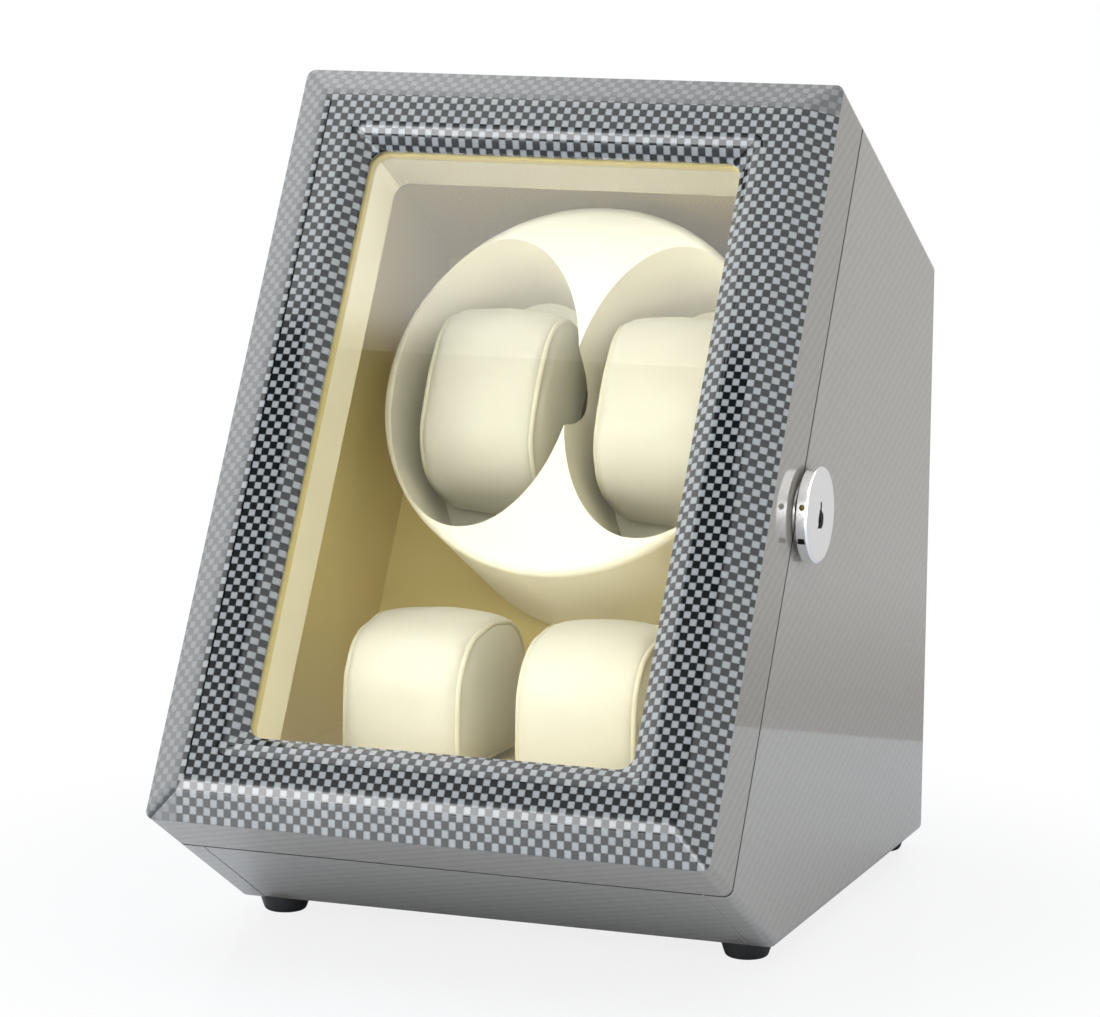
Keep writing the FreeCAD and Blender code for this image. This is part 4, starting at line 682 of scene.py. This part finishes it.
lockRadius = (lockHigh.z - lockLow.z) / 2


def prism(mesh, outline, low, high):
    cap = mesh.faces.new([mesh.verts.new((low, y, z)) for y, z in outline])
    grown = bmesh.ops.extrude_face_region(mesh, geom=[cap], use_keep_orig=True)
    far = [part for part in grown["geom"] if isinstance(part, bmesh.types.BMVert)]
    bmesh.ops.translate(mesh, verts=far, vec=(high - low, 0, 0))


def keyholeOutline(grown=0.0):
    eye = lockShape["eye"] + grown
    tipHalf = lockShape["tipHalf"] + grown
    opening = math.asin(tipHalf / eye)
    outline = []
    for step in range(lockShape["steps"] + 1):
        angle = math.pi / 2 + opening + (2 * math.pi - 2 * opening) * step / lockShape["steps"]
        outline.append((eye * math.cos(angle), eye * math.sin(angle) - lockShape["eyeDrop"]))
    outline.append((tipHalf, lockShape["tip"] + grown))
    outline.append((-tipHalf, lockShape["tip"] + grown))
    return [(lockCentre.y + y, lockCentre.z + z) for y, z in outline]


def notchOutline(outer, inner, half):
    rim = lockCentre.y - math.sqrt(lockRadius ** 2 - lockShape["notchDrop"] ** 2)
    top = lockCentre.z - lockShape["notchDrop"] + half
    low = top - 2 * half
    return [(rim + outer, top), (rim + inner, top), (rim + inner, low), (rim + outer, low)]


def carveLock():
    disc = bpy.data.objects["lock_face_soft"]
    floorAt = lockHigh.x - lockShape["depth"]
    notchLow, notchHigh = (lockHigh.x - lockShape[end] for end in ("notchTo", "notchFrom"))
    deep, half, more = (lockShape[size] for size in ("notchDeep", "notchHalf", "notchMore"))
    mesh = bmesh.new()
    prism(mesh, keyholeOutline(), floorAt, lockHigh.x + lockShape["past"])
    prism(mesh, notchOutline(-deep, deep, half), notchLow, notchHigh)
    bmesh.ops.recalc_face_normals(mesh, faces=mesh.faces[:])
    data = bpy.data.meshes.new("cutter")
    mesh.to_mesh(data)
    mesh.free()
    cutter = bpy.data.objects.new("cutter", data)
    bpy.context.scene.collection.objects.link(cutter)
    cut = disc.modifiers.new("keyhole", "BOOLEAN")
    cut.operation = "DIFFERENCE"
    cut.solver = "EXACT"
    cut.object = cutter
    applyModifiers(disc)
    bpy.data.objects.remove(cutter)
    smoothBy(disc)
    # painted shade: a matte black inlay on the floor of the keyhole and inside the notch stands in for the
    # shade of their depth
    sunk = lockShape["notchSunk"]
    keyholeShade = keyholeOutline(lockShape["shadeMore"])
    mesh = bmesh.new()
    prism(mesh, keyholeShade, floorAt - lockShape["shadeBack"], floorAt + lockShape["shadeFront"])
    prism(mesh, notchOutline(sunk, deep + sunk, half + more), notchLow - more, notchHigh + more)
    bmesh.ops.recalc_face_normals(mesh, faces=mesh.faces[:])
    addPiece("lock_face_keyhole_shade", mesh, bodyOf["lock_face"], shadeBlack, smooth=False)


def lockPin():
    mesh = bmesh.new()
    bmesh.ops.create_uvsphere(mesh, u_segments=20, v_segments=12, radius=lockShape["pin"])
    across = math.sqrt((lockRadius - lockShape["rimInset"]) ** 2 - lockShape["pinRise"] ** 2)
    place = Vector((
        lockHigh.x - lockShape["pinBack"], lockCentre.y - across, lockCentre.z + lockShape["pinRise"],
    ))
    bmesh.ops.translate(mesh, verts=mesh.verts[:], vec=place)
    addPiece("lock_face_pin", mesh, bodyOf["lock_face"], agedBrass)


carveLock()
lockPin()
print("lock detailed")


# Screws of the hinge leaves and the contact pin of the supply inlet
fasteners = {
    "head": 1.6 * mm, "top": 1.25 * mm, "proud": 0.2 * mm, "sides": 28,
    # the slots are black strips on the heads, painted as the shade of a slot
    "slotLong": 2.2 * mm, "slotWide": 0.35 * mm, "slotProud": 0.02 * mm, "slotTurn": 0.6, "slotTwist": 40,
    "inLeaf": 2.65 * mm, "spread": 9 * mm, "leafFace": {"case": 28.3 * mm, "door": 27.7 * mm},
    "pinRadius": 0.8 * mm, "pinLong": 8 * mm, "pinSunk": 1.2 * mm, "pinSides": 24,
}


def leafScrews(node, side):
    corners = [toDoor @ vert.co for vert in frame["nodes"][node].data.vertices]
    across = max(corner.x for corner in corners) - fasteners["inLeaf"]
    ups = [corner.y for corner in corners]
    middle = (min(ups) + max(ups)) / 2
    facing = 0 if side == "case" else math.pi
    proud = fasteners["proud"]
    slotSize = Matrix.Diagonal((
        fasteners["slotLong"], fasteners["slotWide"], 2 * fasteners["slotProud"], 1,
    ))
    heads = bmesh.new()
    slotShades = bmesh.new()
    for away in (-fasteners["spread"], fasteners["spread"]):
        place = Matrix.Translation((across, middle + away, -fasteners["leafFace"][side]))
        seat = doorSpace @ place @ Matrix.Rotation(facing, 4, "X")
        bmesh.ops.create_cone(
            heads, cap_ends=True, segments=fasteners["sides"], radius1=fasteners["head"],
            radius2=fasteners["top"], depth=2 * proud, matrix=seat,
        )
        turn = Matrix.Rotation(fasteners["slotTurn"] + fasteners["slotTwist"] * away, 4, "Z")
        top = seat @ Matrix.Translation((0, 0, proud))
        # painted shade: each slot is a thin black strip laid across the head
        bmesh.ops.create_cube(slotShades, size=1, matrix=top @ turn @ slotSize)
    addPiece(f"{node}_screws", heads, bodyOf[node], platedSteel, smooth=False)
    addPiece(f"{node}_screw_slot_shades", slotShades, bodyOf[node], shadeBlack, smooth=False)


for place in ("upper", "lower"):
    for side in ("case", "door"):
        leafScrews(f"hinge_{place}_{side}_leaf", side)

jackLow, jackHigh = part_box("dc_jack")
jackPin = bmesh.new()
reach = jackHigh.y - fasteners["pinSunk"] - fasteners["pinLong"] / 2
centre = Matrix.Translation(((jackLow.x + jackHigh.x) / 2, reach, (jackLow.z + jackHigh.z) / 2))
bmesh.ops.create_cone(
    jackPin, cap_ends=True, segments=fasteners["pinSides"], radius1=fasteners["pinRadius"],
    radius2=fasteners["pinRadius"], depth=fasteners["pinLong"],
    matrix=centre @ Matrix.Rotation(math.pi / 2, 4, "X"),
)
addPiece("dc_jack_pin", jackPin, bodyOf["dc_jack"], platedSteel, smooth=False)
print("fasteners made")


# Stage, light and camera

stage = {
    "camera": (0.40207, -1.12377, 0.29997), "pan": 19.883, "tilt": 8.843, "roll": 0.604, "lens": 138.62,
    "floorSize": 3.0, "floorNear": 0.12, "floorFar": 0.24, "floorGlow": 0.84,
    "floorEdge": 0.254, "edgeHalf": 0.003, "edgeGrey": 0.42, "farGrey": 0.69, "farFrom": 0.60,
    "floorColours": ((0.72, 0.77, 0.85), (0.74, 0.79, 0.87)), "floorCloud": 2, "worldGrey": 0.44,
}
floorMesh = bmesh.new()
bmesh.ops.create_grid(floorMesh, x_segments=8, y_segments=8, size=stage["floorSize"] / 2)
floorData = bpy.data.meshes.new("floor")
floorMesh.to_mesh(floorData)
floorMesh.free()
floor = bpy.data.objects.new("floor", floorData)
bpy.context.scene.collection.objects.link(floor)
floorWhite, tree, shader = newMaterial("floorWhite", **{"Roughness": 0.12, "Specular IOR Level": 0.4})
place = objectSpace(tree)
cloud = noise(tree, place, stage["floorCloud"], 2)
tree.links.new(mixColour(tree, cloud, *stage["floorColours"]), shader.inputs["Base Color"])
# Away from the box the camera sees the floor fade to white; the lacquer mirrors it as far as floorEdge
away = addNode(tree, "ShaderNodeVectorMath", {0: place}, operation="LENGTH").outputs["Value"]
behind = addNode(tree, "ShaderNodeSeparateXYZ", {0: place}).outputs[1]
seen = addNode(tree, "ShaderNodeLightPath").outputs["Is Camera Ray"]
fadeSeen = between(tree, away, stage["floorNear"], stage["floorFar"], stage["floorGlow"])
edge, half = stage["floorEdge"], stage["edgeHalf"]
fadeMirrored = between(tree, behind, edge - half, edge + half)
fade = addNode(tree, "ShaderNodeMix", {0: seen, 2: fadeMirrored, 3: fadeSeen})
farTone = between(tree, behind, edge, stage["farFrom"], stage["edgeGrey"], stage["farGrey"])
glow = addNode(tree, "ShaderNodeEmission")
tree.links.new(mixColour(tree, seen, farTone, (1, 1, 1)), glow.inputs["Color"])
faded = addNode(tree, "ShaderNodeMixShader", {0: fade.outputs[0]})
tree.links.new(shader.outputs[0], faded.inputs[1])
tree.links.new(glow.outputs[0], faded.inputs[2])
tree.links.new(faded.outputs[0], tree.nodes["Material Output"].inputs["Surface"])
floorData.materials.append(floorWhite)


lamps = {
    "overheadSoftbox": {
        "place": (-0.3, -0.265, 1.3), "aim": (-0.3, -0.265, 0),
        "size": (2.0, 1.33), "power": 9.5,
    },
    "rearSoftbox": {
        "place": (-0.4, 0.6, 1.3), "aim": (-0.4, 0.6, 0),
        "size": (1.2, 0.7), "power": 4,
    },
    "frontFill": {
        "place": (-0.55, -1.5, 0.85), "aim": (0, 0, 0.12),
        "size": (0.9, 0.5), "power": 6.5,
    },
    "leftFill": {
        "place": (-1.4, -0.2, 0.7), "aim": (0, 0, 0.12),
        "size": (0.9, 1.0), "power": 4,
    },
    "rightFill": {
        "place": (1.4, 0.5, 0.7), "aim": (0, 0, 0.12),
        "size": (0.9, 1.0), "power": 3,
    },
    "insideFill": {
        "place": (0.20, -1.1, 0.075), "aim": (0, 0, 0.12),
        "size": (0.6, 0.14), "power": 2.2,
    },
    "skirtFill": {
        "place": (0.1, -0.6, -0.45), "aim": (0, 0, 0.13),
        "size": (0.5, 0.3), "power": 2.6, "colour": (1.0, 0.93, 0.72),
    },
}
lampOf = {}
for name, row in lamps.items():
    lamp = bpy.data.lights.new(name, "AREA")
    lamp.shape = "RECTANGLE"
    lamp.size, lamp.size_y = row["size"]
    lamp.energy = row["power"]
    lamp.color = row.get("colour", (1, 1, 1))
    holder = bpy.data.objects.new(name, lamp)
    holder.location = row["place"]
    holder.rotation_euler = (Vector(row["aim"]) - Vector(row["place"])).to_track_quat("-Z", "Y").to_euler()
    holder.visible_glossy = False
    bpy.context.scene.collection.objects.link(holder)
    lampOf[name] = holder

# Two lamps light only the drum and the lining; the second stands for what the lining throws back up
inside = bpy.data.collections.new("inside")
inside.objects.link(bpy.data.objects["drum_soft"])
for name in ("liner_left", "liner_right", "back_liner", "drive_panel"):
    inside.objects.link(frame["nodes"][name])
lampOf["insideFill"].light_linking.receiver_collection = inside
lampOf["skirtFill"].light_linking.receiver_collection = inside
lampOf["skirtFill"].light_linking.blocker_collection = inside

world = bpy.data.worlds.new("studio")
bpy.context.scene.world = world
world.use_nodes = True
tree = world.node_tree
back = tree.nodes["Background"]
rays = addNode(tree, "ShaderNodeLightPath")
# What the lacquer and the glass mirror: softboxes in front and above, with a dark gap between them
mirrored = {
    "frontGlow": (
        (0.00, 0.50), (0.12, 1.00), (0.18, 12.00), (0.54, 12.00), (0.64, 2.00), (0.76, 1.40), (0.785, 0.85),
        (0.80, 0.40), (0.815, 0.25), (0.83, 0.10), (0.843, 0.10), (0.849, 3.10), (0.90, 3.20), (1.00, 3.80),
    ),
    "slant": -0.3, "slantRight": -0.29, "slantLeft": -0.42,
    "dimFrom": -0.27, "dimTo": -0.42, "dimmest": 0.6,
    "rightFrom": 0.1, "rightTo": 0.3, "rightGlow": 2.0,
    "lowFrom": 0.8, "lowTo": 0.6, "rearFrom": -0.15, "rearTo": 0.1,
    "leftFrom": -0.5, "leftTo": -0.64, "leftGlow": 3.0, "leftLow": 0.45, "leftFoot": 0.08, "leftHead": 0.24,
}
view = addNode(tree, "ShaderNodeTexCoord").outputs["Generated"]
toRight, toBack, toTop = addNode(tree, "ShaderNodeSeparateXYZ", {0: view}).outputs
sideways = calc(tree, "MINIMUM", toRight, mirrored["slantRight"])
sideways = calc(tree, "MAXIMUM", sideways, mirrored["slantLeft"])
height = calc(tree, "MULTIPLY_ADD", sideways, mirrored["slant"], toTop)
studio = ramp(tree, height, [(stop, (glow, glow, glow)) for stop, glow in mirrored["frontGlow"]])
leftward = between(tree, toRight, mirrored["dimFrom"], mirrored["dimTo"], mirrored["dimmest"])
studio = addNode(tree, "ShaderNodeVectorMath", {0: studio, 3: leftward}, operation="SCALE").outputs[0]
onRight = between(tree, toRight, mirrored["rightFrom"], mirrored["rightTo"])
studio = mixColour(tree, onRight, studio, (mirrored["rightGlow"],) * 3)
low = between(tree, toTop, mirrored["lowFrom"], mirrored["lowTo"])
rear = calc(tree, "MULTIPLY", low, between(tree, toBack, mirrored["rearFrom"], mirrored["rearTo"]))
studio = mixColour(tree, rear, studio, (stage["farGrey"],) * 3)
foot, head = mirrored["leftFoot"], mirrored["leftHead"]
leftTone = between(tree, toTop, foot, head, mirrored["leftLow"], mirrored["leftGlow"])
onLeft = between(tree, toRight, mirrored["leftFrom"], mirrored["leftTo"])
studio = mixColour(tree, onLeft, studio, leftTone)
lit = mixColour(tree, rays.outputs["Is Glossy Ray"], (stage["worldGrey"],) * 3, studio)
tree.links.new(mixColour(tree, rays.outputs["Is Camera Ray"], lit, (1, 1, 1)), back.inputs["Color"])
back.inputs["Strength"].default_value = 1.0

cameraData = bpy.data.cameras.new("camera")
cameraData.lens = stage["lens"]
cameraData.sensor_width = 36
cameraData.sensor_fit = "HORIZONTAL"
camera = bpy.data.objects.new("camera", cameraData)
turned = Euler((0, 0, math.radians(stage["pan"]))).to_matrix().to_4x4()
turned = turned @ Matrix.Rotation(math.radians(90 - stage["tilt"]), 4, "X")
turned = turned @ Matrix.Rotation(math.radians(stage["roll"]), 4, "Z")
camera.matrix_world = Matrix.Translation(stage["camera"]) @ turned
bpy.context.scene.collection.objects.link(camera)
bpy.context.scene.camera = camera
bpy.context.scene.view_settings.view_transform = "Standard"
print("stage set")
